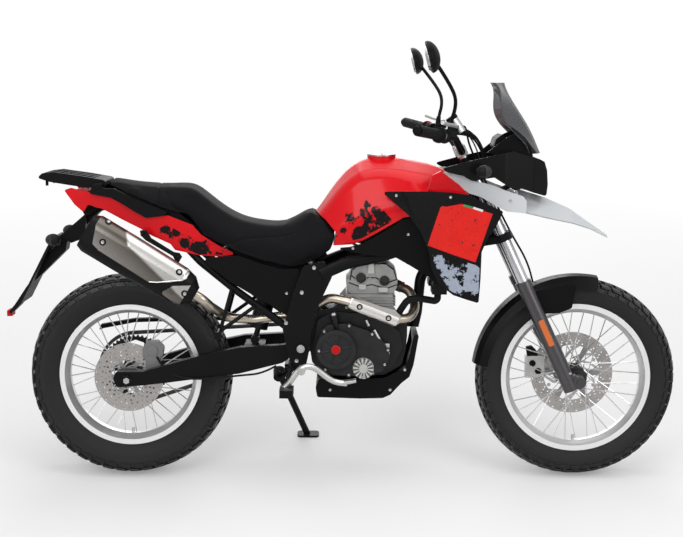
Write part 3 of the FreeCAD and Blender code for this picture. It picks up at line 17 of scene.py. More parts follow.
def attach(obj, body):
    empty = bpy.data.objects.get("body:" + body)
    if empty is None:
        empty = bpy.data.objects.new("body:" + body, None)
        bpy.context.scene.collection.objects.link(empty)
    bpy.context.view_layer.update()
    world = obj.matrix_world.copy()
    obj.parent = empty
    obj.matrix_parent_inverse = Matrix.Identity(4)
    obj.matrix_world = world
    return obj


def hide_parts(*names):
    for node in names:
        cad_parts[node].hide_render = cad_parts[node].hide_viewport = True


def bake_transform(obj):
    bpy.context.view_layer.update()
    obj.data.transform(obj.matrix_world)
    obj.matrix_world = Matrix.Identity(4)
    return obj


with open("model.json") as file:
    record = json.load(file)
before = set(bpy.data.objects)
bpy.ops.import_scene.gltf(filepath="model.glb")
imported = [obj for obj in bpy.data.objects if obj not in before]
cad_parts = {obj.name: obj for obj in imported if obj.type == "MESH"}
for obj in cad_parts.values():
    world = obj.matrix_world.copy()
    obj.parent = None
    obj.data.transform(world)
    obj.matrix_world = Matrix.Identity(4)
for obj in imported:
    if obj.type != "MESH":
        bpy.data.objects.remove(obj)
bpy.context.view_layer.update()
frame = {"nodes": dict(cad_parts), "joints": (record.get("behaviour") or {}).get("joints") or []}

bl_info = {
    "name": "Dual Sport Motorcycle",
    "version": (1, 0, 0),
    "blender": (4, 5, 0),
    "location": "View3D > Sidebar > Motorcycle",
    "description": "Finishes and dressed pieces of a dual sport motorcycle",
    "category": "Object",
}

NODES = frame["nodes"]
JOINTS = {joint["name"]: joint for joint in frame["joints"]}
MM = 0.001


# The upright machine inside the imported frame

REAR_AXLE_HEIGHT = 326.0
REAR_SPIN = JOINTS["rear_wheel_spin"]
LEAN = math.atan2(REAR_SPIN["axis"][2], REAR_SPIN["axis"][1])
LEANED = Matrix.Rotation(LEAN, 4, "X")
UPRIGHT = Matrix.Translation(Vector(REAR_SPIN["pos_m"]) - LEANED @ Vector((0, 0, REAR_AXLE_HEIGHT * MM))) @ LEANED
FRONT_AXLE = (UPRIGHT.inverted() @ Vector(JOINTS["front_wheel_spin"]["pos_m"])) / MM
REAR_AXLE = Vector((0, 0, REAR_AXLE_HEIGHT))
HEAD_POINT = (1105.0, 0.0, 860.0)
STEER_RAKE = math.radians(25)
STEER_PLACE = Matrix.Translation(Vector(HEAD_POINT) * MM) @ Matrix.Rotation(-STEER_RAKE, 4, "Y")

SIDES = ((-1, "right"), (1, "left"))

# Places in millimetres that more than one piece uses: X and Z seen from the side, or all three
PIVOT = (549, 435)
SHIELD_BOLTS = ((-38, 834), (-52, 775), (179, 683), (195, 617))
HEADER_BOLTS = ((732, 569.6), (822, 534.6))
FILLER_CAP = (800, 0, 1036)
GRIP_ROOT, GRIP_END = Vector((-8, 270, 272)), Vector((-79, 411, 328))  # about the steering axis
CAMERA = (675, -4600, 1268)
SPOKES = 36


def bike(x, y, z):
    """A point of the upright machine, given in millimetres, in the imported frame."""
    return UPRIGHT @ (Vector((x, y, z)) * MM)


# Shader maths

class Signal:
    """A number on a shader socket, with the arithmetic that the finishes use."""

    def __init__(self, tree, socket):
        self.tree, self.socket = tree, socket

    def _math(self, operation, first, second=None):
        node = self.tree.nodes.new("ShaderNodeMath")
        node.operation = operation
        for socket, term in zip(node.inputs, (first, second)):
            if isinstance(term, Signal):
                self.tree.links.new(term.socket, socket)
            elif term is not None:
                socket.default_value = term
        return Signal(self.tree, node.outputs[0])

    def __add__(self, other):
        return self._math("ADD", self, other)

    __radd__ = __add__

    def __sub__(self, other):
        return self._math("SUBTRACT", self, other)

    def __rsub__(self, other):
        return self._math("SUBTRACT", other, self)

    def __mul__(self, other):
        return self._math("MULTIPLY", self, other)

    __rmul__ = __mul__

    def __truediv__(self, other):
        return self._math("DIVIDE", self, other)

    def above(self, level):
        return self._math("GREATER_THAN", self, level)

    def below(self, level):
        return self._math("LESS_THAN", self, level)

    def lowest(self, other):
        return self._math("MINIMUM", self, other)

    def highest(self, other):
        return self._math("MAXIMUM", self, other)

    def power(self, exponent):
        return self._math("POWER", self, exponent)

    def size(self):
        return self._math("ABSOLUTE", self)

    def wave(self):
        return self._math("SINE", self)

    def turn(self, other):
        """The angle whose tangent is this number over the other."""
        return self._math("ARCTAN2", self, other)

    def part(self):
        """What is left of the number above its whole part."""
        return self._math("FRACT", self)

    def held(self):
        """The same number kept between 0 and 1."""
        return self.highest(0.0).lowest(1.0)


class Finish:
    """A procedural material and what feeds its shader."""

    def __init__(self, name, colour, roughness, metallic=0.0, **fixed):
        self.material = bpy.data.materials.new(name)
        self.material.use_nodes = True
        self.tree = self.material.node_tree
        self.shader = self.tree.nodes["Principled BSDF"]
        self.feed(self.shader.inputs["Base Color"], (*colour, 1.0))
        self.feed(self.shader.inputs["Roughness"], roughness)
        self.feed(self.shader.inputs["Metallic"], metallic)
        for key, value in fixed.items():
            self.feed(self.shader.inputs[key.replace("_", " ")], value)
        self.place = self.node("ShaderNodeTexCoord").outputs["Object"]
        self.normal = None

    def feed(self, socket, value):
        """Link a signal or socket to a socket, or set its own value."""
        if isinstance(value, Signal):
            self.tree.links.new(value.socket, socket)
        elif isinstance(value, bpy.types.NodeSocket):
            self.tree.links.new(value, socket)
        else:
            socket.default_value = value

    def node(self, kind, settings=None, **sockets):
        """Any node: its settings first, then the values or links of its sockets."""
        node = self.tree.nodes.new(kind)
        for key, value in (settings or {}).items():
            setattr(node, key, value)
        for key, value in sockets.items():
            self.feed(node.inputs[key.replace("_", " ")], value)
        return node

    def upright(self, scale=(1, 1, 1)):
        """Object coordinates turned back to the upright machine, in metres."""
        back = UPRIGHT.inverted()
        turned = self.node("ShaderNodeMapping", {"vector_type": "POINT"}, Vector=self.place,
                           Location=back.translation, Rotation=back.to_euler())
        scaled = self.node("ShaderNodeMapping", {"vector_type": "POINT"}, Vector=turned.outputs[0], Scale=scale)
        return scaled.outputs[0]

    def axes(self, place=None):
        """The three numbers of a place as signals."""
        parts = self.node("ShaderNodeSeparateXYZ", Vector=place or self.upright())
        return [Signal(self.tree, output) for output in parts.outputs]

    def from_axle(self, axle):
        """Distance from an axle and the angle about it, for wheels."""
        x, _, z = self.axes()
        across, up = x - axle[0] * MM, z - axle[2] * MM
        return (across * across + up * up).power(0.5), up.turn(across)

    def along(self, x, y):
        """A texture place made from two numbers."""
        return self.node("ShaderNodeCombineXYZ", None, X=x, Y=y).outputs[0]

    def away_from(self, x, z, axes=None):
        """Distance from a point seen from the side, in metres of the upright machine."""
        px, _, pz = axes or self.axes()
        dx, dz = px - x * MM, pz - z * MM
        return (dx * dx + dz * dz).power(0.5)

    def near(self, x, z, radius):
        """1 inside a round spot seen from the side."""
        return self.away_from(x, z).below(radius * MM)

    def step_across(self, start, end, width, axes):
        """0 on one side of a line seen from the side, 1 on the other, rising over a width."""
        px, _, pz = axes
        dx, dz = end[0] - start[0], end[1] - start[1]
        length = math.hypot(dx, dz)
        across = (px - start[0] * MM) * (-dz / length) + (pz - start[1] * MM) * (dx / length)
        return (across / (width * MM) + 0.5).held()

    def noise(self, scale, detail=3.0, roughness=0.5, place=None):
        made = self.node("ShaderNodeTexNoise", Vector=place or self.place, Scale=scale, Detail=detail,
                         Roughness=roughness)
        return Signal(self.tree, made.outputs[0])

    def cells(self, scale):
        made = self.node("ShaderNodeTexVoronoi", {"feature": "SMOOTH_F1"}, Vector=self.place, Scale=scale)
        return Signal(self.tree, made.outputs["Distance"])

    def mix(self, mask, first, second):
        """First colour where the mask is 0, second where it is 1."""
        blend = self.node("ShaderNodeMix", {"data_type": "RGBA"})
        self.feed(blend.inputs[0], mask)
        self.feed(blend.inputs[6], first if isinstance(first, bpy.types.NodeSocket) else (*first[:3], 1))
        self.feed(blend.inputs[7], second if isinstance(second, bpy.types.NodeSocket) else (*second[:3], 1))
        return blend.outputs[2]

    def paint(self, mask, first, second):
        """Make the base colour a mix of two."""
        self.feed(self.shader.inputs["Base Color"], self.mix(mask, first, second))

    def set_roughness(self, value):
        self.feed(self.shader.inputs["Roughness"], value)

    def round_edges(self, radius):
        self.normal = self.node("ShaderNodeBevel", {"samples": 4}, Radius=radius).outputs[0]
        self.feed(self.shader.inputs["Normal"], self.normal)

    def edge_mask(self, radius):
        """1 along sharp edges, 0 on open faces."""
        soft = self.node("ShaderNodeBevel", {"samples": 4}, Radius=radius).outputs[0]
        true = self.node("ShaderNodeNewGeometry").outputs["Normal"]
        dot = self.node("ShaderNodeVectorMath", {"operation": "DOT_PRODUCT"})
        self.feed(dot.inputs[0], soft)
        self.feed(dot.inputs[1], true)
        return ((1.0 - Signal(self.tree, dot.outputs["Value"])) * 6.0).held()

    def bump(self, height, distance, strength):
        made = self.node("ShaderNodeBump", None, Height=height, Distance=distance, Strength=strength)
        if self.normal is not None:
            self.feed(made.inputs["Normal"], self.normal)
        self.normal = made.outputs[0]
        self.feed(self.shader.inputs["Normal"], self.normal)


# Finishes

def shade(colour, share):
    """A lighter or darker colour of the same hue."""
    return [min(1, share * c) for c in colour]


def gloss_paint(name, colour, coat=0.25, shine=0.12):
    """Sprayed and lacquered panel: a little orange peel and fine flake."""
    made = Finish(name, colour, 0.3, Coat_Weight=coat, Coat_Roughness=0.08, Specular_IOR_Level=shine)
    made.round_edges(0.0012)
    drift = made.noise(6, 2)
    made.paint((drift * 0.5 + made.noise(900, 1) * 0.3).held(), shade(colour, 0.86),
               [min(1, 1.06 * c + 0.004) for c in colour])
    made.set_roughness(made.noise(40, 3) * 0.12 + 0.24)
    made.bump(made.noise(420, 2), 0.00012, 0.35)
    return made


def moulded_plastic(name, colour, roughness, grain):
    """Injection moulded plastic with a fine leather grain."""
    made = Finish(name, colour, roughness, Specular_IOR_Level=0.08)
    made.round_edges(0.001)
    made.paint((made.noise(9, 3) * 0.7).held(), shade(colour, 0.8), shade(colour, 1.2))
    scuffs = made.noise(30, 6, 0.7).above(0.62) * 0.07
    made.set_roughness(made.noise(120, 3) * 0.14 + scuffs + (roughness - 0.07))
    made.bump(made.cells(1500), 0.00015, grain)
    return made


def sprayed_metal(name, colour, roughness):
    """Satin paint on steel or alloy, worn bright along the edges."""
    made = Finish(name, colour, roughness, Specular_IOR_Level=0.1)
    made.round_edges(0.0012)
    wear = (made.edge_mask(0.0009) * (made.noise(160, 5, 0.7).above(0.57))).held()
    base = made.mix(made.noise(14, 3), shade(colour, 0.82), shade(colour, 1.25))
    made.paint(wear, base, (0.35, 0.35, 0.36))
    made.feed(made.shader.inputs["Metallic"], wear * 0.9)
    made.set_roughness(made.noise(70, 4) * 0.16 + (roughness - 0.08))
    made.bump(made.noise(650, 3), 0.00012, 0.4)
    return made


def cast_metal(name, colour, roughness=0.42, grain=0.5):
    """Sand or die cast alloy: pebbled skin, stained darker and lighter in patches."""
    made = Finish(name, colour, roughness, 0.85)
    made.round_edges(0.0018)
    pebble = made.noise(520, 4, 0.6)
    stain = made.noise(18, 5, 0.6)
    made.paint(stain, shade(colour, 0.72), shade(colour, 1.1))
    made.set_roughness(pebble * 0.2 + stain * 0.1 + (roughness - 0.15))
    made.bump(pebble, 0.0004, grain)
    return made


def turned_metal(name, colour, roughness, along):
    """Bright metal with fine drawn or turned lines."""
    made = Finish(name, colour, roughness, 1.0)
    made.round_edges(0.0006)
    lines = made.noise(60, 4, 0.6, made.upright(along))
    made.paint(lines, shade(colour, 0.82), shade(colour, 1.08))
    made.set_roughness(lines * 0.18 + made.noise(25, 3) * 0.1 + (roughness - 0.12))
    made.bump(lines, 0.00006, 0.35)
    return made


def rubber(name, colour, roughness):
    made = Finish(name, colour, roughness, Specular_IOR_Level=0.09)
    dust = made.noise(11, 6, 0.65)
    made.paint((dust * 0.8).held(), colour, [c + 0.008 for c in colour])
    made.set_roughness(dust * 0.2 + (roughness - 0.1))
    made.bump(made.noise(700, 4, 0.6), 0.0002, 0.5)
    return made


def seat_vinyl(name, colour):
    """Grained seat cover: small irregular cells and a soft sheen."""
    made = Finish(name, colour, 0.55, Specular_IOR_Level=0.06)
    grain = made.cells(620)
    made.paint((made.noise(8, 4) * 0.6 + grain * 0.3).held(), shade(colour, 0.8),
               shade(colour, 1.35))
    made.set_roughness(grain * 0.15 + made.noise(20, 4) * 0.12 + 0.5)
    made.bump(grain + made.noise(1400, 2) * 0.3, 0.0003, 0.55)
    return made


def lens(name, colour, alpha, ribs=True):
    """Coloured lamp lens with pressed ribs, or a plain glass."""
    made = Finish(name, colour, 0.06, IOR=1.49, Coat_Weight=0.6)
    y = made.axes()[1]
    made.feed(made.shader.inputs["Alpha"], made.noise(30, 2) * 0.06 + (alpha - 0.03))
    made.paint((made.noise(200, 2) * 0.4).held(), colour, shade(colour, 1.2))
    if ribs:
        made.bump((y * 900.0).wave(), 0.0006, 0.4)
    return made


def smoked_screen(name, colour):
    made = Finish(name, colour, 0.08, IOR=1.49, Coat_Weight=0.5)
    made.feed(made.shader.inputs["Alpha"], made.noise(5, 2) * 0.06 + 0.74)
    made.paint(made.noise(12, 3), colour, shade(colour, 1.2))
    made.set_roughness(made.noise(60, 5) * 0.08 + 0.04)
    made.bump(made.noise(9, 1), 0.0006, 0.2)
    return made


def brushed_steel(name, colour, heat=0.0):
    """Stainless sheet or pipe, with some straw and blue near the port."""
    made = Finish(name, colour, 0.3, 1.0)
    made.round_edges(0.0008)
    lines = made.noise(35, 5, 0.6, made.upright((1, 25, 25)))
    stain = made.noise(12, 4, 0.6)
    tinted = made.mix((stain * 0.7 * heat).held(), colour, (0.5, 0.38, 0.24))
    made.paint((lines * 0.5).held(), tinted, shade(colour, 0.78))
    made.set_roughness(lines * 0.2 + stain * 0.12 + 0.14)
    made.bump(lines, 0.00008, 0.3)
    return made


def shield_steel_painted_light(name):
    """Brushed heat shield with one long pressed fold; painted highlight above the fold and painted shade below it,
    darkest next to the fold and lighter toward the lower edge.
    """
    made = brushed_steel(name, (0.6, 0.58, 0.55), 0.2)
    axes = made.axes()
    fold = made.step_across((10, 838), (25, 770), 8, axes).lowest(made.step_across((25, 764), (130, 660), 8, axes))
    # painted shade under the fold: darkest next to it, lighter toward the lower edge
    painted_shade_slope = made.step_across((-7, 732), (98, 628), 90, axes)
    brushed = (made.noise(35, 5, 0.6, made.upright((1, 25, 25))) * 0.35).held()
    lower = made.mix(painted_shade_slope, made.mix(brushed, (0.34, 0.32, 0.3), (0.2, 0.18, 0.16)),
                     made.mix(brushed, (0.09, 0.08, 0.07), (0.16, 0.14, 0.12)))
    # painted highlight on the face above the fold, painted shade below it
    made.paint(fold, lower, made.mix(brushed, (0.56, 0.55, 0.53), (0.36, 0.34, 0.32)))
    made.bump(fold, 0.002, 0.4)
    return made


def drilled(name, axle, rings):
    """Brake disc face with holes: rings lists (radius in millimetres, holes, turn)."""
    made = Finish(name, (0.6, 0.59, 0.57), 0.28, 1.0)
    radius, angle = made.from_axle(axle)
    solid = None
    for ring, count, turn in rings:
        along = ((angle * (count / math.tau) + turn).part() - 0.5) * (math.tau * ring * MM / count)
        away = radius - ring * MM
        clear = (along * along + away * away).above((3.0 * MM) ** 2)
        solid = clear if solid is None else solid.lowest(clear)
    made.feed(made.shader.inputs["Alpha"], solid)
    lines = made.noise(1.0, 5, 0.7, made.along(radius * 900.0, angle * 0.6))
    made.paint(lines, (0.33, 0.31, 0.3), (0.5, 0.48, 0.46))
    made.set_roughness(lines * 0.2 + 0.2)
    made.bump(lines, 0.0001, 0.35)
    return made


def engine_block(name):
    """Dark crankcase under a bare cylinder."""
    made = cast_metal(name, (0.022, 0.022, 0.024), 0.42)
    x, _, z = made.axes()
    bare = z.above(0.551) * x.above(0.688) * x.below(0.853)
    stain = made.noise(18, 5, 0.6)
    made.paint(bare, made.mix(stain, (0.012, 0.012, 0.013), (0.028, 0.028, 0.03)),
               made.mix(stain, (0.2, 0.2, 0.195), (0.42, 0.42, 0.41)))
    return made


def plate_plastic(name, black):
    """Black plate holder with a red reflector at its end."""
    made = moulded_plastic(name, black, 0.45, 0.2)
    x, y, z = made.axes()
    end = x.below(-0.3795) * y.size().below(0.024) * (z - 0.521).size().below(0.01)
    made.paint(end, made.mix(made.noise(9, 3), (0.004, 0.004, 0.0045), (0.009, 0.009, 0.0095)),
               (0.5, 0.01, 0.01))
    return made


def tank_paint(name, colour):
    """The tank's red lacquer, with the pressed folds that run down its sides."""
    made = gloss_paint(name, colour)
    axes = made.axes()
    fold = made.step_across((727, 975), (846, 832), 16, axes)
    foot = made.step_across((593, 880), (664, 778), 7, axes)
    made.bump(fold + foot * 0.7, 0.003, 0.4)
    return made


def shroud_plastic(name):
    """Glossy black panel with a fold along its lower edge."""
    made = gloss_paint(name, (0.003, 0.003, 0.0035), 0.1, 0.08)
    axes = made.axes()
    fold = made.step_across((807, 926), (893, 855), 10, axes)
    fold = fold.lowest(made.step_across((893, 855), (946, 738), 10, axes))
    made.set_roughness(made.noise(50, 3) * 0.14 + 0.2)
    made.bump(fold, 0.004, 0.7)
    return made


def head_casting(name):
    """Bare cylinder head casting with two black cam plugs."""
    made = cast_metal(name, (0.4, 0.4, 0.39), 0.36)
    plugs = (made.near(737, 649, 16.5).highest(made.near(811, 640, 16.5))) * made.axes()[1].size().above(0.0776)
    stain = made.noise(18, 5, 0.6)
    made.paint(plugs, made.mix(stain, (0.2, 0.2, 0.195), (0.46, 0.46, 0.45)), (0.006, 0.006, 0.007))
    made.feed(made.shader.inputs["Metallic"], 0.85 - plugs * 0.8)
    return made


def clamp_metal(name, black):
    """Black fork clamps under bare alloy handlebar clamps."""
    made = sprayed_metal(name, black, 0.36)
    x, _, z = made.axes()
    bare = ((x - 1.105) * -0.4226 + (z - 0.86) * 0.9063).above(0.1705)
    grain = made.noise(300, 4)
    made.paint(bare, black, made.mix(grain, (0.42, 0.42, 0.42), (0.6, 0.6, 0.6)))
    made.feed(made.shader.inputs["Metallic"], bare * 0.95)
    made.set_roughness(grain * 0.2 + 0.26)
    return made


def hand_levers(name, black):
    """Black switch housings with bright levers outboard of them."""
    made = moulded_plastic(name, black, 0.42, 0.25)
    y = made.axes()[1]
    lever = y.size().above(0.305).highest(y.above(-0.268) * y.below(-0.2))
    grain = made.noise(200, 4)
    made.paint(lever, made.mix(grain, (0.007, 0.007, 0.0075), (0.014, 0.014, 0.015)),
               made.mix(grain, (0.45, 0.45, 0.45), (0.62, 0.62, 0.62)))
    made.feed(made.shader.inputs["Metallic"], lever * 0.95)
    made.set_roughness(grain * 0.16 + 0.34 - lever * 0.08)
    return made


def bare_pedal(name):
    """Bright brake pedal on the right, dark shift lever on the left."""
    made = cast_metal(name, (0.58, 0.58, 0.57), 0.32, 0.3)
    left = made.axes()[1].above(0.0)
    stain = made.noise(20, 5)
    made.paint(left, made.mix(stain, (0.45, 0.45, 0.44), (0.66, 0.66, 0.65)), (0.05, 0.05, 0.052))
    return made


def plaque(name):
    """A flat red panel print, chipped here and there."""
    made = Finish(name, (0.62, 0.02, 0.012), 0.3, Coat_Weight=0.2, Specular_IOR_Level=0.2)
    chips = made.noise(75, 3, 0.6).above(0.69).highest(made.noise(190, 2, 0.5).above(0.72))
    made.paint(chips, made.mix(made.noise(30, 3), (0.6, 0.008, 0.004), (0.78, 0.014, 0.008)),
               (0.02, 0.018, 0.018))
    made.set_roughness(made.noise(60, 3) * 0.12 + 0.22)
    made.bump(1.0 - chips, 0.0001, 0.4)
    return made


def dark_leg(name):
    """Dark cast fork leg with a dusted lower end."""
    made = cast_metal(name, (0.09, 0.085, 0.09), 0.3, 0.12)
    dust = made.noise(14, 6, 0.7) * 0.5
    made.paint(dust.held(), (0.07, 0.066, 0.07), (0.13, 0.124, 0.13))
    return made


def tyre(name, axle, rim):
    """Tyre rubber with moulding rings and fine ribs on its side wall, and a painted highlight that lightens the
    tread shoulder.
    """
    made = Finish(name, (0.008, 0.008, 0.009), 0.6, Specular_IOR_Level=0.3)
    radius, angle = made.from_axle(axle)
    wall = radius.below((rim + 58) * MM)
    rings = ((radius * 1570.0).wave() * 0.5 + 0.5) * wall * radius.below((rim + 26) * MM)
    ribs = (angle * 220.0).wave().above(0.2) * wall * radius.above((rim + 34) * MM)
    dust = made.noise(9, 6, 0.65)
    shoulder = radius.above((rim + 46) * MM)
    # the shoulder term lightens the tread: painted highlight on the lug tops
    made.paint((dust * 0.6 + rings * 0.12 + shoulder * 0.2).held(), (0.004, 0.004, 0.0045),
               (0.016, 0.016, 0.016))
    made.set_roughness(dust * 0.16 + 0.52 - shoulder * 0.24)
    made.bump(rings + ribs * 0.6 + made.noise(600, 4, 0.6) * 0.5, 0.0005, 0.5)
    return made


def hub_and_spokes(name, axle):
    """Dark hub barrel, bright stainless spokes."""
    made = Finish(name, (0.7, 0.7, 0.71), 0.25, 1.0)
    core = made.from_axle(axle)[0].below(0.0385)
    grain = made.noise(300, 4)
    made.paint(core, made.mix(grain, (0.5, 0.5, 0.51), (0.74, 0.74, 0.75)),
               made.mix(grain, (0.012, 0.012, 0.013), (0.035, 0.035, 0.037)))
    made.set_roughness(core * 0.2 + grain * 0.15 + 0.16)
    made.feed(made.shader.inputs["Metallic"], 1.0 - core * 0.6)
    made.bump(grain, 0.0002, 0.3)
    return made


def rotor(name, axle, worn):
    """Ground brake disc: rings where the pads run, plain arms inside."""
    made = Finish(name, (0.5, 0.5, 0.51), 0.3, 1.0)
    radius, angle = made.from_axle(axle)
    rings = made.noise(1.0, 5, 0.7, made.along(radius * 900.0, angle * 0.6))
    track = radius.above(worn * MM)
    made.paint(track, (0.3, 0.29, 0.28), made.mix(rings, (0.36, 0.34, 0.33), (0.52, 0.5, 0.48)))
    made.set_roughness(rings * 0.22 + 0.2 - track * 0.06)
    made.bump(rings * track, 0.0002, 0.35)
    return made


def engine_covers(name):
    """Black sand-cast covers with a bright filter cover and a red centre cap on the right."""
    made = Finish(name, (0.045, 0.045, 0.048), 0.42, 0.7)
    made.round_edges(0.0016)
    x, y, z = made.axes()
    right = y.below(0.0)
    spread = (z - 0.371).turn(x - 0.745)
    ribs = (spread * 14.0).wave().above(0.1) * made.near(745, 371, 32) * right
    filter_cover, cap = made.near(745, 371, 33) * right, made.near(659, 433, 14.6) * right
    pebble, stain = made.noise(520, 4, 0.6), made.noise(16, 5, 0.6)
    base = made.mix(stain, (0.008, 0.008, 0.009), (0.03, 0.03, 0.032))
    bright = made.mix(ribs, made.mix(pebble, (0.42, 0.42, 0.4), (0.6, 0.6, 0.58)), (0.1, 0.1, 0.095))
    made.paint(cap, made.mix(filter_cover, base, bright), (0.5, 0.02, 0.02))
    made.set_roughness(pebble * 0.2 + stain * 0.12 + 0.26)
    made.feed(made.shader.inputs["Metallic"], (filter_cover * 0.2 + 0.6) * (1.0 - cap))
    made.bump(pebble, 0.0004, 0.45)
    made.bump(ribs, 0.002, 0.7)
    return made


def indicator(name):
    """Dark housing, smoked lens on the face that looks away from the rider."""
    made = Finish(name, (0.02, 0.02, 0.02), 0.35, Specular_IOR_Level=0.12)
    x, _, z = made.axes()
    lens_part = (x.below(-0.2225)).highest(x.above(1.1085))
    ribs = (z * 2400.0).wave()
    made.paint(lens_part, (0.008, 0.008, 0.009),
               made.mix(made.noise(90, 2), (0.02, 0.02, 0.021), (0.045, 0.044, 0.043)))
    made.set_roughness(made.noise(60, 3) * 0.15 + 0.38 - lens_part * 0.26)
    made.bump(ribs * lens_part + made.noise(900, 2) * 0.4, 0.0004, 0.4)
    return made


def headlamp(name):
    """Bright reflector bowl behind a clear fluted lens."""
    made = Finish(name, (0.75, 0.78, 0.8), 0.1, IOR=1.49, Coat_Weight=0.8)
    x, y, z = made.axes()
    front = x.above(1.2915)
    flutes = (y * 1100.0).wave()
    bands = (z * 210.0).wave() * 0.5 + 0.5
    made.paint(front, (0.8, 0.8, 0.8), made.mix(bands, (0.62, 0.66, 0.7), (0.82, 0.86, 0.88)))
    made.feed(made.shader.inputs["Metallic"], 1.0 - front * 0.75)
    made.feed(made.shader.inputs["Alpha"], 1.0 - front * 0.3)
    made.set_roughness(made.noise(40, 3) * 0.08 + 0.07)
    made.bump(flutes * front, 0.0006, 0.35)
    return made


def grooved(name, colour, roughness, pitch, axis, distance=0.0012):
    """Rubber or alloy with even grooves across one axis."""
    made = Finish(name, colour, roughness, Specular_IOR_Level=0.15)
    grooves = (made.axes()[axis] * (6.283 / (pitch * MM))).wave()
    dust = made.noise(14, 5, 0.6)
    made.paint((grooves * 0.3 + dust * 0.5).held(), shade(colour, 0.7), shade(colour, 1.5))
    made.set_roughness(dust * 0.2 + (roughness - 0.1))
    made.bump(grooves + dust * 0.2, distance, 0.7)
    return made


def links(name):
    """Steel side plates, darker between them."""
    made = Finish(name, (0.4, 0.4, 0.4), 0.3, 1.0)
    y = made.axes()[1] - 0.082
    between = y.size().below(0.0045)
    oil = made.noise(60, 5, 0.7)
    made.paint(between, made.mix(oil, (0.03, 0.03, 0.031), (0.08, 0.078, 0.075)), (0.015, 0.014, 0.013))
    made.set_roughness(oil * 0.25 + between * 0.1 + 0.2)
    made.bump(oil, 0.0002, 0.4)
    return made


def splatter(name, colour, spots, scale):
    """A worn print: solid about its spots (X, Z, radius in millimetres), torn at the rim, bare beyond."""
    made = Finish(name, colour, 0.3, Coat_Weight=0.05, Specular_IOR_Level=0.1)
    axes, cover = made.axes(), None
    for x, z, radius in spots:
        inside = 1.0 - made.away_from(x, z, axes) / (radius * MM)
        cover = inside if cover is None else cover.highest(inside)
    grain = made.noise(scale, 7, 0.72)
    tear = made.noise(scale * 0.45, 2, 0.5)
    made.feed(made.shader.inputs["Alpha"], (cover * 0.8 + (grain - 0.5) * 4.6 + (tear - 0.5) * 3.4).above(0.0))
    made.paint(made.noise(90, 3), shade(colour, 0.85), shade(colour, 1.15))
    made.set_roughness(grain * 0.2 + 0.25)
    made.bump(grain, 0.0001, 0.3)
    return made


FINISHES = {}


def finish(key):
    return FINISHES[key].material


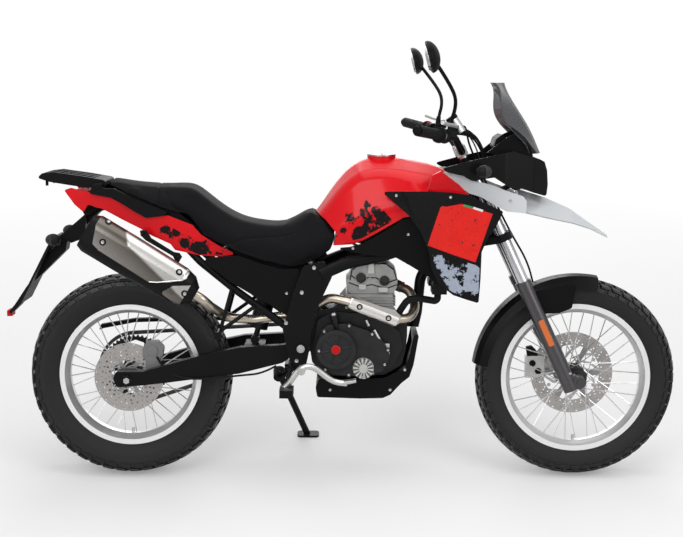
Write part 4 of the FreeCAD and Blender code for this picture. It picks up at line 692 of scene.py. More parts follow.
def make_finishes(looks):
    """Every finish of the machine, under the name that pieces ask for."""
    black = looks.black
    FINISHES.update(
        red=gloss_paint("red_paint", looks.red),
        silver_panel=gloss_paint("silver_panel", looks.silver),
        gloss_black=gloss_paint("gloss_black", (0.003, 0.003, 0.0035), 0.1, 0.08),
        white=gloss_paint("white_film", (0.78, 0.78, 0.78)),
        green=gloss_paint("green_film", (0.05, 0.28, 0.1)),
        satin_black=moulded_plastic("satin_black", black, 0.34, 0.08),
        plastic=moulded_plastic("black_plastic", black, 0.5, 0.3),
        frame=sprayed_metal("frame_black", black, 0.36),
        casting=cast_metal("dark_casting", (0.022, 0.022, 0.024), 0.42),
        alloy=cast_metal("alloy_casting", (0.56, 0.56, 0.55), 0.36),
        dull_alloy=cast_metal("dull_alloy", (0.2, 0.2, 0.2), 0.4),
        rim=turned_metal("rim_alloy", (0.88, 0.87, 0.88), 0.36, (8, 1, 8)),
        chrome=turned_metal("hard_chrome", (0.6, 0.6, 0.62), 0.2, (3, 3, 1)),
        steel=turned_metal("plain_steel", (0.5, 0.5, 0.51), 0.32, (6, 6, 6)),
        zinc=cast_metal("zinc_bolt", (0.5, 0.5, 0.49), 0.35, 0.15),
        exhaust=brushed_steel("exhaust_steel", (0.5, 0.46, 0.41), 1.0),
        # heat shields: brushed steel with a painted highlight above their fold and painted shade below it
        shield=shield_steel_painted_light("shield_steel_painted_light"),
        lip=brushed_steel("shield_lip", (0.75, 0.73, 0.7)),
        muffler=sprayed_metal("muffler_black", (0.006, 0.006, 0.0065), 0.4),
        rubber=rubber("soft_rubber", (0.006, 0.006, 0.0065), 0.5),
        vinyl=seat_vinyl("seat_vinyl", (0.0065, 0.0065, 0.0075)),
        red_lens=lens("red_lens", (0.5, 0.01, 0.01), 0.93),
        amber_lens=lens("amber_lens", (0.62, 0.12, 0.004), 0.97),
        mirror_glass=turned_metal("mirror_glass", (0.8, 0.82, 0.84), 0.12, (1, 1, 1)),
        screen=smoked_screen("smoked_screen", (0.05, 0.052, 0.058)),
        red_plastic=moulded_plastic("red_plastic", (0.5, 0.012, 0.01), 0.35, 0.1),
        front_tyre=tyre("front_tyre_rubber", FRONT_AXLE, 240),
        rear_tyre=tyre("rear_tyre_rubber", REAR_AXLE, 228),
        front_hub=hub_and_spokes("front_hub_metal", FRONT_AXLE),
        rear_hub=hub_and_spokes("rear_hub_metal", REAR_AXLE),
        front_rotor=rotor("front_rotor_steel", FRONT_AXLE, 109),
        rear_rotor=rotor("rear_rotor_steel", REAR_AXLE, 85),
        covers=engine_covers("engine_cover_casting"),
        indicator=indicator("indicator_plastic"),
        headlamp=headlamp("headlamp_glass"),
        grip=grooved("grip_rubber", (0.006, 0.006, 0.0065), 0.6, 4.0, 1),
        core=grooved("radiator_fins", (0.012, 0.012, 0.013), 0.5, 3.2, 2, 0.002),
        links=links("chain_links"),
        lcd=lens("lcd_glass", (0.2, 0.23, 0.2), 0.97, False),
        red_anodised=turned_metal("red_anodised", (0.3, 0.02, 0.03), 0.3, (6, 6, 6)),
        shroud=shroud_plastic("shroud_black"),
        shroud_print=splatter("shroud_print", (0.33, 0.37, 0.45),
                              ((1066, 666, 42), (1004, 681, 24), (978, 720, 17), (1024, 640, 30),
                               (1080, 690, 26)), 42),
        tank_print=splatter("tank_print", (0.006, 0.004, 0.0045),
                            ((806, 838, 42), (770, 812, 36), (742, 800, 26), (786, 862, 22), (702, 840, 15),
                             (755, 886, 12), (684, 811, 11), (714, 788, 12), (756, 838, 24)), 52),
        tail_print=splatter("tail_print", (0.006, 0.004, 0.0045),
                            ((126, 803, 14), (156, 787, 16), (186, 760, 24), (214, 746, 26), (252, 740, 24),
                             (284, 729, 18)), 60),
        plaque=plaque("plaque_red"),
        tank=tank_paint("tank_paint", looks.red),
        head=head_casting("head_casting"),
        clamps=clamp_metal("clamp_metal", black),
        levers=hand_levers("hand_levers", black),
        pedal=bare_pedal("bare_pedal"),
        leg=dark_leg("fork_leg_paint"),
        block=engine_block("engine_block"),
        plate=plate_plastic("plate_plastic", black),
        front_face=drilled("front_disc_face", FRONT_AXLE, ((118, 36, 0), (107, 24, 0.3), (99, 36, 0.5))),
        rear_face=drilled("rear_disc_face", REAR_AXLE, ((98, 30, 0), (86, 30, 0.5), (74, 24, 0.2), (63, 24, 0.6))),
    )


NODE_FINISHES = dict(
    frame="frame", subframe="frame", swingarm="frame", triple_clamps="clamps", side_stand="frame",
    crankcase="block", engine_covers="covers", cylinder_head="head", radiator="core",
    coolant_hose="rubber", exhaust_header="exhaust", exhaust_shields="shield", muffler="muffler",
    skid_plate="satin_black", fuel_tank="tank", fuel_cap="steel", seat="vinyl", side_covers="satin_black",
    shrouds="shroud", tail_fairing="red", tail_lamp="red_lens", luggage_rack="plastic",
    plate_holder="plate", indicators="indicator", front_cowl="gloss_black", headlamp="headlamp",
    windscreen="screen", beak="silver_panel", dashboard="plastic", footpegs="frame", foot_controls="pedal",
    shock_absorber="casting", rear_caliper="dull_alloy", chain="links", chain_guard="plastic",
    fork_stanchions="chrome", fork_lowers="leg", handlebar="frame", grips="grip",
    hand_controls="levers", mirrors="plastic", front_fender="satin_black", front_caliper="alloy",
    front_tyre="front_tyre", rear_tyre="rear_tyre", front_rim="rim", rear_rim="rim", front_hub="front_hub",
    rear_hub="rear_hub",
    front_disc="front_rotor", rear_disc="rear_rotor", rear_sprocket="casting",
)


# Mesh work

def link(name, data):
    """A new object in the scene."""
    piece = bpy.data.objects.new(name, data)
    bpy.context.scene.collection.objects.link(piece)
    return piece


def new_piece(name, mesh, body, key):
    """Finish a bmesh as a piece that rides on a body."""
    bmesh.ops.remove_doubles(mesh, verts=mesh.verts, dist=1e-6)
    bmesh.ops.recalc_face_normals(mesh, faces=mesh.faces)
    data = bpy.data.meshes.new(name)
    mesh.to_mesh(data)
    mesh.free()
    piece = link(name, data)
    data.materials.append(finish(key))
    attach(piece, body)
    return piece


def rods(name, key, *bars):
    """Round bars on the frame; each is (start, end, radius, tip, sides, bevel), points on the upright machine."""
    mesh = bmesh.new()
    for start, end, *sizes in bars:
        add_round(mesh, bike(*start), bike(*end), *sizes)
    return new_piece(name, mesh, "frame", key)


def slabs(name, key, *plates):
    """Plates on the frame that face the side; each is (outline, near, far, corner, edge)."""
    mesh = bmesh.new()
    for plate in plates:
        add_slab(mesh, *plate)
    return new_piece(name, mesh, "frame", key)


def merge(mesh, part, matrix):
    """Move one bmesh's faces into another."""
    bmesh.ops.transform(part, matrix=matrix, verts=part.verts)
    data = bpy.data.meshes.new("part")
    part.to_mesh(data)
    part.free()
    mesh.from_mesh(data)
    bpy.data.meshes.remove(data)


def facing(place, outward):
    """A frame at a place whose Z looks outward."""
    return Matrix.Translation(place) @ outward.to_track_quat("Z", "Y").to_matrix().to_4x4()


def outward(side):
    """The way that one side of the machine looks."""
    return (bike(0, side, 0) - bike(0, 0, 0)).normalized()


def frame_on(origin, u, v):
    """A frame on the upright machine: origin and two axes in millimetres, Z out of the plane they span."""
    x = Vector(u).normalized()
    z = x.cross(Vector(v)).normalized()
    turn = Matrix((x, z.cross(x), z)).transposed().to_4x4()
    return UPRIGHT @ Matrix.Translation(Vector(origin) * MM) @ turn


def bar(x, y, z):
    """A point given about the steering axis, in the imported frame."""
    return UPRIGHT @ (STEER_PLACE @ (Vector((x, y, z)) * MM))


def add_bolt(mesh, place, outward, radius, height):
    """A socket button screw standing on a surface point, all in metres."""
    part = bmesh.new()
    sides = bpy.context.scene.motorcycle_details.screw_sides
    bmesh.ops.create_cone(part, cap_ends=True, segments=sides, radius1=radius, radius2=radius * 0.8, depth=height,
                          matrix=Matrix.Translation((0, 0, height * 0.5 - 0.0004)))
    part.normal_update()
    top = [face for face in part.faces if face.normal.z > 0.9]
    bmesh.ops.inset_individual(part, faces=top, thickness=radius * 0.34)
    bmesh.ops.translate(part, verts=list({v for face in top for v in face.verts}), vec=(0, 0, -height * 0.45))
    merge(mesh, part, facing(place, outward))


def add_round(mesh, start, end, radius, tip=None, segments=32, bevel=0.0):
    """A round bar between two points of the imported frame; its ends may be bevelled, in metres."""
    part = bmesh.new()
    span = end - start
    bmesh.ops.create_cone(part, cap_ends=True, segments=segments, radius1=radius,
                          radius2=radius if tip is None else tip, depth=span.length)
    if bevel:
        rims = [edge for edge in part.edges if any(len(face.verts) == segments for face in edge.link_faces)]
        bmesh.ops.bevel(part, geom=rims, offset=bevel, segments=2, profile=0.5, affect="EDGES", material=-1)
    merge(mesh, part, facing((start + end) / 2, span.normalized()))


def extruded(part):
    """Pull all faces of a bmesh away from themselves; the vertices that move."""
    raised = bmesh.ops.extrude_face_region(part, geom=part.faces[:])["geom"]
    return [item for item in raised if isinstance(item, bmesh.types.BMVert)]


def add_plate(mesh, outline, matrix, thickness, corner=0.0, edge=0.0):
    """A flat plate: outline in millimetres on the frame's XY plane, thickness along its Z, rounded."""
    part = bmesh.new()
    part.faces.new([part.verts.new((u * MM, v * MM, 0)) for u, v in outline])
    if corner:
        bmesh.ops.bevel(part, geom=part.verts[:], offset=corner * MM, segments=5, profile=0.5, affect="VERTICES",
                        material=-1)
    bmesh.ops.translate(part, verts=extruded(part),
                        vec=(0, 0, thickness * MM))
    bmesh.ops.recalc_face_normals(part, faces=part.faces)
    if edge:
        rims = [e for e in part.edges
                if e.calc_face_angle(0) > 1.3 and abs(e.verts[0].co.z - e.verts[1].co.z) < 1e-6]
        bmesh.ops.bevel(part, geom=rims, offset=edge * MM, segments=2, profile=0.5, affect="EDGES", material=-1)
    merge(mesh, part, matrix)


def add_lathe(mesh, axle, profile, steps=96):
    """A closed profile, (radius, Y) in millimetres, turned about a wheel's axle."""
    part = bmesh.new()
    corners = [part.verts.new((r * MM, y * MM, 0)) for r, y in profile]
    edges = [part.edges.new((corners[i - 1], corners[i])) for i in range(len(corners))]
    bmesh.ops.spin(part, geom=corners + edges, cent=(0, 0, 0), axis=(0, 1, 0), angle=math.tau, steps=steps,
                   use_merge=True)
    bmesh.ops.recalc_face_normals(part, faces=part.faces)
    merge(mesh, part, UPRIGHT @ Matrix.Translation(Vector(axle) * MM))


def add_lugs(mesh, axle, crown, stations, count, turn, slant, depth=8.5, share=0.7):
    """A row of tread blocks; crown gives (Y, radius, lateral share of the way in) at each station."""
    part = bmesh.new()
    pitch = math.tau / count
    rows, ways = [], []
    for station in stations:
        y, radius, lateral = crown(station)
        row = []
        for i in range(5):
            angle = turn + pitch * share * (i / 4 - 0.5) + slant * abs(station)
            across, up = math.cos(angle), math.sin(angle)
            row.append(part.verts.new((radius * MM * across, y * MM, radius * MM * up)))
            ways.append(Vector((-across * (1 - lateral), -math.copysign(lateral, y), -up * (1 - lateral))))
        rows.append(row)
    for low, high in zip(rows, rows[1:]):
        for i in range(4):
            part.faces.new((low[i], low[i + 1], high[i + 1], high[i]))
    verts = [vert for row in rows for vert in row]
    ways = {tuple(round(c, 7) for c in vert.co): way for vert, way in zip(verts, ways)}
    for vert in extruded(part):
        vert.co += ways[tuple(round(c, 7) for c in vert.co)].normalized() * depth * MM
    bmesh.ops.recalc_face_normals(part, faces=part.faces)
    rims = [edge for edge in part.edges if edge.calc_face_angle(0) > 1.0]
    bmesh.ops.bevel(part, geom=rims, offset=1.1 * MM, segments=1, profile=0.5, affect="EDGES", material=-1)
    bmesh.ops.spin(part, geom=part.verts[:] + part.edges[:] + part.faces[:], cent=(0, 0, 0), axis=(0, 1, 0),
                   angle=math.tau - pitch, steps=count - 1, use_duplicate=True)
    merge(mesh, part, UPRIGHT @ Matrix.Translation(Vector(axle) * MM))


def add_slab(mesh, outline, near, far, corner=0.0, edge=0.0):
    """A plate that faces the side: outline (X, Z) on the upright machine, between two Y places."""
    add_plate(mesh, outline, frame_on((0, max(near, far), 0), (1, 0, 0), (0, 0, 1)), abs(far - near), corner, edge)


def add_tube(mesh, places, radius):
    """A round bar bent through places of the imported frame."""
    line = as_mesh(curve_piece("bent_bar", None, places, radius, "plastic"))
    mesh.from_mesh(line.data)
    data = line.data
    bpy.data.objects.remove(line)
    bpy.data.meshes.remove(data)


SURFACES = {}


def surface(node):
    """A search tree over a CAD node's faces."""
    if node not in SURFACES:
        mesh = bmesh.new()
        mesh.from_mesh(NODES[node].data)
        SURFACES[node] = BVHTree.FromBMesh(mesh)
        mesh.free()
    return SURFACES[node]


def on_side(node, x, z, side, tree=None):
    """Where a ray from the side meets a node, and the way its surface looks; None where it misses."""
    inward = LEANED.to_3x3() @ Vector((0, -side, 0))
    place, normal, _, _ = (tree or surface(node)).ray_cast(bike(x, side * 500, z), inward)
    if place is None:
        return None
    return place, normal if normal.dot(inward) < 0 else -normal


def apply_modifiers(piece):
    """Keep what a piece's modifiers make of it, and take them off."""
    made = bpy.data.meshes.new_from_object(piece.evaluated_get(bpy.context.evaluated_depsgraph_get()))
    old, piece.data = piece.data, made
    piece.modifiers.clear()
    bpy.data.meshes.remove(old)


def vertex_array(data, field="co"):
    """A mesh's vertex places or normals as an array."""
    values = np.empty(len(data.vertices) * 3)
    data.vertices.foreach_get(field, values)
    return values.reshape(-1, 3)


def screws(name, body, places, radius=None, height=3.5, key="zinc"):
    """Screws on nodes seen from the side; each place is (node, X, Z, side)."""
    mesh = bmesh.new()
    radius = radius * MM if radius else bpy.context.scene.motorcycle_details.screw_radius
    missed = []
    for place in places:
        found = on_side(*place)
        if found:
            add_bolt(mesh, *found, radius, height * MM)
        else:
            missed.append(place)
    if missed:
        raise RuntimeError("no surface under %s" % missed)
    return new_piece(name, mesh, body, key)


def both(places):
    """The same places on both sides of the machine."""
    return [(node, x, z, side) for node, x, z in places for side in (-1, 1)]


def press(points, lines, depth, width):
    """Push points in along sewn lines; points and lines are arrays of places, the result a depth per point."""
    pushed = np.zeros(len(points))
    for line in lines:
        for start, end in zip(line, line[1:]):
            span = end - start
            share = np.clip((points - start) @ span / (span @ span), 0, 1)
            away = np.linalg.norm(points - start - share[:, None] * span, axis=1)
            pushed = np.maximum(pushed, depth * np.exp(-((away / width) ** 2)))
    return pushed


def curve_piece(name, body, places, radius, key, smooth=True):
    """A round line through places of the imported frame: a hose or cable, or a line laid on a panel."""
    data = bpy.data.curves.new(name, "CURVE")
    data.dimensions, data.use_fill_caps = "3D", True
    data.bevel_depth, data.bevel_resolution, data.resolution_u = radius * MM, 3, 8
    spline = data.splines.new("NURBS" if smooth else "POLY")
    spline.points.add(len(places) - 1)
    for point, place in zip(spline.points, places):
        point.co = (*place, 1)
    if smooth:
        spline.order_u, spline.use_endpoint_u = 3, True
    data.materials.append(finish(key))
    piece = link(name, data)
    if body:
        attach(piece, body)
    return piece


def as_mesh(piece):
    """The mesh of a curve piece, in its place and under its name."""
    name, data = piece.name, piece.data
    made = bpy.data.meshes.new_from_object(piece.evaluated_get(bpy.context.evaluated_depsgraph_get()))
    bpy.data.objects.remove(piece)
    bpy.data.curves.remove(data)
    made.name = name
    return link(name, made)


def hose(name, body, points, radius):
    """A hose or cable held at both ends, through points of the upright machine."""
    return curve_piece(name, body, [bike(*point) for point in points], radius, "rubber")


def laid_line(name, node, path, key, radius, step=9.0):
    """A seam or lip along a path (X, Z) on a node's right side, half sunk in its surface."""
    places = []
    for (x0, z0), (x1, z1) in zip(path, path[1:]):
        count = max(1, int(math.hypot(x1 - x0, z1 - z0) / step))
        for i in range(count + 1):
            found = on_side(node, x0 + (x1 - x0) * i / count, z0 + (z1 - z0) * i / count, -1)
            if found:
                places.append(found[0])
    return curve_piece(name, "frame", places, radius, key, False)


def film(name, node, outline, side, key, lift, grid=14.0):
    """A thin film on a node's side, from an outline (X, Z) in millimetres of the upright machine."""
    mesh = bmesh.new()
    far = side * 400.0
    verts = [mesh.verts.new((x, far, z)) for x, z in outline]
    mesh.faces.new(verts)
    low = [min(p[i] for p in outline) for i in (0, 1)]
    high = [max(p[i] for p in outline) for i in (0, 1)]
    for axis, start, end in ((0, low[0], high[0]), (2, low[1], high[1])):
        place = start + grid
        while place < end:
            centre, normal = Vector((0, 0, 0)), Vector((0, 0, 0))
            centre[axis], normal[axis] = place, 1.0
            bmesh.ops.bisect_plane(mesh, geom=mesh.verts[:] + mesh.edges[:] + mesh.faces[:], plane_co=centre,
                                   plane_no=normal)
            place += grid
    bmesh.ops.triangulate(mesh, faces=mesh.faces[:])
    tree = surface(node)
    inward = LEANED.to_3x3() @ Vector((0, -side, 0))
    missed = []
    for vert in mesh.verts:
        hit = tree.ray_cast(bike(*vert.co), inward)
        if hit[0] is None:
            missed.append(vert)
        else:
            vert.co = hit[0] - inward * lift * MM
    bmesh.ops.delete(mesh, geom=missed, context="VERTS")
    return new_piece(name, mesh, "frame", key)


# Settings

class MotorcycleLooks(bpy.types.PropertyGroup):
    """Colours of the machine's main finishes."""
    red: FloatVectorProperty(name="Red", description="Tank and tail paint", subtype="COLOR", size=3,
                             default=(0.72, 0.0, 0.006))
    silver: FloatVectorProperty(name="Silver", description="High front blade", subtype="COLOR", size=3,
                                default=(0.62, 0.64, 0.66))
    black: FloatVectorProperty(name="Black", description="Frame and trim", subtype="COLOR", size=3,
                               default=(0.005, 0.005, 0.0055))


class MotorcycleSeat(bpy.types.PropertyGroup):
    """How the seat cover is made."""
    voxel: FloatProperty(name="Voxel", description="Mesh size of the cover", default=0.006, unit="LENGTH")
    tuck: FloatProperty(name="Tuck", description="How far the cover starts inside the foam", default=0.003,
                        unit="LENGTH")
    swell: FloatProperty(name="Swell", description="How far a point may rise when the cover fills", default=0.005,
                         unit="LENGTH")
    seam_depth: FloatProperty(name="Seam depth", description="Depth of a sewn seam", default=0.0026, unit="LENGTH")
    seam_width: FloatProperty(name="Seam width", description="Half width of a sewn seam", default=0.0042,
                              unit="LENGTH")


class MotorcycleDetails(bpy.types.PropertyGroup):
    """Sizes of small dressed pieces."""
    screw_sides: IntProperty(name="Screw sides", description="Faces round a screw head", default=18)
    screw_radius: FloatProperty(name="Screw radius", description="Panel screws", default=0.005, unit="LENGTH")
    hose_radius: FloatProperty(name="Hose radius", description="Brake hoses", default=0.0032, unit="LENGTH")


class MotorcycleStage(bpy.types.PropertyGroup):
    """Sizes of the studio."""
    floor_width: FloatProperty(name="Floor width", description="Side of the square floor", default=60.0,
                               unit="LENGTH")
    focal_length: FloatProperty(name="Focal length", description="Camera lens on a 36 mm sensor", default=76.22)
    pitch: FloatProperty(name="Pitch", description="Downward tilt against the machine",
                         default=math.atan(188.5 / 1446), subtype="ANGLE")
    roll: FloatProperty(name="Roll", description="Camera roll", default=math.radians(0.3), subtype="ANGLE")


# Operators

class MOTORCYCLE_OT_finishes(bpy.types.Operator):
    """Give every CAD node its finish"""
    bl_idname = "motorcycle.finishes"
    bl_label = "Finishes"

    def execute(self, context):
        make_finishes(context.scene.motorcycle_looks)
        for name, key in NODE_FINISHES.items():
            slots = NODES[name].data.materials
            slots.clear()
            slots.append(finish(key))
        return {"FINISHED"}


class MOTORCYCLE_OT_seat(bpy.types.Operator):
    """Fill the seat cover like a cushion and press its sewn seams"""
    bl_idname = "motorcycle.seat"
    bl_label = "Seat"

    BAND = ((160, 865), (196, 849), (231, 808), (271, 776), (312, 756), (342, 764), (378, 776), (438, 779),
            (499, 783), (535, 797), (560, 823), (580, 852))
    STEP = ((101, 944), (123, 918), (143, 883), (158, 864))

    def execute(self, context):
        settings = context.scene.motorcycle_seat
        cover = self.foam(settings)
        self.fill(context, cover, settings)
        rounding = cover.modifiers.new("rounding", "SUBSURF")
        rounding.levels = rounding.render_levels = 1
        apply_modifiers(cover)
        self.sew(cover, settings)
        cover.data.materials.clear()
        cover.data.materials.append(finish("vinyl"))
        cover.data.shade_smooth()
        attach(cover, "frame")
        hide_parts("seat")
        return {"FINISHED"}

    def foam(self, settings):
        """The seat's solid as an even skin, a little inside its own surface."""
        mesh = bmesh.new()
        mesh.from_mesh(NODES["seat"].data)
        bmesh.ops.remove_doubles(mesh, verts=mesh.verts, dist=1e-5)
        data = bpy.data.meshes.new("seat_cover")
        mesh.to_mesh(data)
        mesh.free()
        cover = link("seat_cover", data)
        skin = cover.modifiers.new("skin", "REMESH")
        skin.mode, skin.voxel_size = "VOXEL", settings.voxel
        apply_modifiers(cover)
        mesh = bmesh.new()
        mesh.from_mesh(cover.data)
        for _ in range(3):
            bmesh.ops.smooth_vert(mesh, verts=mesh.verts, factor=0.5, use_axis_x=True, use_axis_y=True,
                                  use_axis_z=True)
        mesh.normal_update()
        for vert in mesh.verts:
            vert.co -= vert.normal * settings.tuck
        mesh.to_mesh(cover.data)
        mesh.free()
        return cover

    def fill(self, context, cover, settings):
        """Cloth under pressure, with each point's rise held to the swell."""
        start = vertex_array(cover.data)
        normals = vertex_array(cover.data, "normal")
        cloth = cover.modifiers.new("fill", "CLOTH")
        cloth.settings.use_pressure = True
        cloth.settings.uniform_pressure_force = 4.0
        cloth.settings.effector_weights.gravity = 0.0
        cloth.point_cache.frame_end = 20
        for step in range(1, 21):
            context.scene.frame_set(step)
        apply_modifiers(cover)
        context.scene.frame_set(1)
        rise = vertex_array(cover.data) - start
        length = np.maximum(np.linalg.norm(rise, axis=1), 1e-9)
        free = np.clip(1.0 + normals[:, 2] * 1.6, 0.0, 1.0)
        rise *= (np.minimum(length, settings.swell) * free / length)[:, None]
        cover.data.vertices.foreach_set("co", (start + rise).ravel())
        cover.data.update()

    def sew(self, cover, settings):
        """Press the band seam on each side and the seam that crosses the passenger's step."""
        mesh = bmesh.new()
        mesh.from_mesh(cover.data)
        tree = BVHTree.FromBMesh(mesh)
        mesh.free()
        lines = []
        for side in (-1, 1):
            for path in (self.BAND, self.STEP):
                found = [on_side("seat", x, z, side, tree) for x, z in path]
                lines.append([np.array(hit[0]) for hit in found if hit])
        down = LEANED.to_3x3() @ Vector((0, 0, -1))
        top = [tree.ray_cast(bike(100, y, 1100), down)[0] for y in range(-120, 121, 12)]
        lines.append([np.array(place) for place in top if place])
        points, normals = vertex_array(cover.data), vertex_array(cover.data, "normal")
        points -= normals * press(points, lines, settings.seam_depth, settings.seam_width)[:, None]
        cover.data.vertices.foreach_set("co", points.ravel())
        cover.data.update()


class MOTORCYCLE_OT_prints(bpy.types.Operator):
    """Lay the coloured films on the shrouds, tank, tail and screen"""
    bl_idname = "motorcycle.prints"
    bl_label = "Prints"

    FILMS = (  # name, node, outline (X, Z), finish, lift and, where finer, grid
        ("plaque", "shrouds",
         ((975, 884), (981, 889), (992, 887), (1039, 896), (1136, 865), (1085, 716), (938, 767)), "plaque", 0.7),
        ("green_stripe", "shrouds", ((1047, 895), (1076, 887), (1073, 881), (1044, 889)), "green", 1.1),
        ("white_stripe", "shrouds", ((1077, 887), (1107, 877), (1104, 871), (1074, 881)), "white", 1.1),
        ("shroud_print", "shrouds",
         ((950, 745), (1000, 735), (1085, 708), (1098, 700), (1096, 612), (1050, 606), (1008, 630), (962, 700)),
         "shroud_print", 1.2, 7.0),
        ("tank_print", "fuel_tank",
         ((660, 806), (668, 860), (720, 870), (735, 915), (776, 884), (796, 880), (833, 837), (739, 782),
          (700, 770)), "tank_print", 0.6),
        ("tail_print", "tail_fairing",
         ((100, 794), (104, 806), (130, 818), (170, 795), (212, 776), (256, 769), (318, 738), (312, 724),
          (229, 724), (178, 746), (155, 764), (120, 786)), "tail_print", 0.6),
        ("cowl_crest", "windscreen",
         ((1150, 1158), (1161, 1151), (1188, 1134), (1220, 1113), (1243, 1094), (1272, 1060), (1306, 1020),
          (1308, 990), (1240, 1000), (1200, 1040), (1150, 1100)), "satin_black", 1.4, 6.0),
    )

    def execute(self, context):
        for side, hand in SIDES:
            for name, node, outline, *look in self.FILMS:
                film(name + "_" + hand, node, outline, side, *look)
        return {"FINISHED"}


class MOTORCYCLE_OT_bodywork(bpy.types.Operator):
    """Add the tank's wings, the cowl's cheeks, the liners under the seat and the muffler hanger"""
    bl_idname = "motorcycle.bodywork"
    bl_label = "Body panels"

    PANELS = (  # name, finish, near and far Y, rounded edge, outline (X, Z)
        ("tank_wing", "tank", 136, 155, 1.5,
         ((938, 932), (952, 978), (980, 992), (1009, 970), (1035, 951), (1068, 917), (1010, 921))),
        ("cowl_cheek", "satin_black", 90, 96, 0.8,
         ((1124, 1045), (1150, 1066), (1186, 1094), (1222, 1110), (1241, 1094), (1262, 1066), (1270, 1030),
          (1215, 1026))),
        ("seat_liner", "plastic", 82, 88, 0,
         ((-100, 900), (-30, 922), (90, 905), (170, 850), (240, 792), (320, 770), (440, 796), (560, 800),
          (560, 560), (400, 588), (340, 640), (400, 690), (310, 752), (200, 790), (100, 822), (0, 850))),
    )
    TRAY = ((-159, 887), (-89, 862), (-131, 838), (-135, 770), (-179, 753), (-216, 774), (-136, 843))
    HANGER = ((51, 803), (71, 806), (86, 780), (155, 737), (173, 734), (181, 722), (170, 703), (160, 709),
              (152, 724), (68, 773), (53, 788))

    def execute(self, context):
        for side, hand in SIDES:
            for name, key, near, far, edge, outline in self.PANELS:
                slabs(name + "_" + hand, key, (outline, side * near, side * far, 0, edge))
        slabs("tail_tray", "plastic", (self.TRAY, -62, 62, 0, 1.0))
        mesh = bmesh.new()
        add_slab(mesh, self.HANGER, -148, -153, 0, 1.0)
        for x, z in ((62, 796), (167, 727)):
            add_bolt(mesh, bike(x, -153, z), outward(-1), 0.0055, 0.005)
        new_piece("muffler_hanger", mesh, "frame", "frame")
        return {"FINISHED"}


class MOTORCYCLE_OT_controls(bpy.types.Operator):
    """Forge the brake pedal and the shift lever in place of their plain solids"""
    bl_idname = "motorcycle.controls"
    bl_label = "Foot controls"

    def execute(self, context):
        mesh = bmesh.new()
        pedal = ((489, -190, 310), (511, -192, 326), (530, -193, 358), (545, -194, 377), (567, -196, 388),
                 (590, -197, 385), (612, -199, 370), (637, -201, 350), (662, -203, 338), (694, -207, 337))
        add_tube(mesh, [bike(*place) for place in pedal], 9.5)
        add_slab(mesh, ((684, 334), (722, 342), (722, 350), (684, 345)), -222, -190, 0, 1.5)
        add_round(mesh, bike(552, -151.3, 372), bike(552, -205, 372), 0.012, segments=36, bevel=0.001)
        lever = ((560, 177, 372), (590, 191, 366), (660, 197, 360), (700, 197, 350))
        add_tube(mesh, [bike(*place) for place in lever], 6)
        add_round(mesh, bike(700, 191, 350), bike(700, 221, 350), 0.009, segments=28, bevel=0.0015)
        add_round(mesh, bike(560, 151.3, 372), bike(560, 183, 372), 0.010, segments=32, bevel=0.001)
        piece = new_piece("foot_levers", mesh, "frame", "pedal")
        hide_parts("foot_controls")
        return {"FINISHED"}


class MOTORCYCLE_OT_fasteners(bpy.types.Operator):
    """Set the panel screws, casting bolts and axle nuts, and cover the front caliper"""
    bl_idname = "motorcycle.fasteners"
    bl_label = "Fasteners"

    def execute(self, context):
        screws("panel_screws", "frame", both((
            ("shrouds", 842, 918), ("shrouds", 1006, 916), ("side_covers", 710, 751), ("side_covers", 881, 795),
            ("side_covers", 504, 606), ("beak", 1012, 984), ("beak", 1196, 900),
            ("front_cowl", 1092, 996))))
        screws("frame_bolts", "frame", both((
            ("frame", 503, 516), ("frame", 536, 396), ("frame", 552, 612), ("frame", 590, 690))), 7.0, 5.0)
        screws("exhaust_bolts", "frame", [("exhaust_shields", x, z, -1) for x, z in SHIELD_BOLTS], 6.5, 4.0)
        screws("engine_bolts", "frame", [("engine_covers", x, z, -1) for x, z in (
            (622, 488), (606, 430), (626, 366), (700, 506), (772, 480), (822, 430), (812, 384), (775, 356),
            (700, 350), (724, 386), (761, 388), (744, 344))], 4.6, 4.0)
        screws("skid_bolts", "frame", both((("skid_plate", 641, 294), ("skid_plate", 831, 295),
                                            ("skid_plate", 877, 360))), 5.5, 3.5, "steel")
        mesh = bmesh.new()
        add_slab(mesh, ((1284, 374), (1320, 374), (1313, 396), (1297, 411), (1279, 407)), 46, 66, 3, 1)
        for x, z in ((1300, 354), (1319, 328)):
            add_round(mesh, bike(x, 38.5, z), bike(x, 45, z), 0.0105, segments=32, bevel=0.0012)
        new_piece("front_caliper_cover", mesh, "steering", "plastic")
        screws("fork_bolts", "steering", both((("fork_lowers", 1331, 470), ("fork_lowers", 1398, 352))), 5.0, 4.0)
        self.nuts()
        return {"FINISHED"}

    def nuts(self):
        """Flanged hexagon nuts on the rear axle and the swingarm pivot."""
        size = 11 * MM
        for side, hand in SIDES:
            mesh = bmesh.new()
            start, end = (bike(0, side * y, REAR_AXLE_HEIGHT) for y in (126, 139))
            add_round(mesh, start, start.lerp(end, 0.3), 11 * 1.25 * MM, segments=36, bevel=0.0008)
            add_round(mesh, start.lerp(end, 0.3), end, size, 11 * 0.94 * MM, segments=6)
            new_piece("rear_axle_nut_" + hand, mesh, "frame", "zinc")
        for side, hand in SIDES:
            hits = [found for found in (on_side(node, *PIVOT, side) for node in ("frame", "swingarm")) if found]
            place, out = max(hits, key=lambda hit: side * (UPRIGHT.inverted() @ hit[0]).y)
            mesh = bmesh.new()
            add_round(mesh, place - out * 0.001, place + out * 0.002, 0.0125, segments=36, bevel=0.0006)
            add_round(mesh, place + out * 0.002, place + out * 0.008, 0.010, 0.0094, segments=6)
            new_piece("pivot_nut_" + hand, mesh, "frame", "zinc")


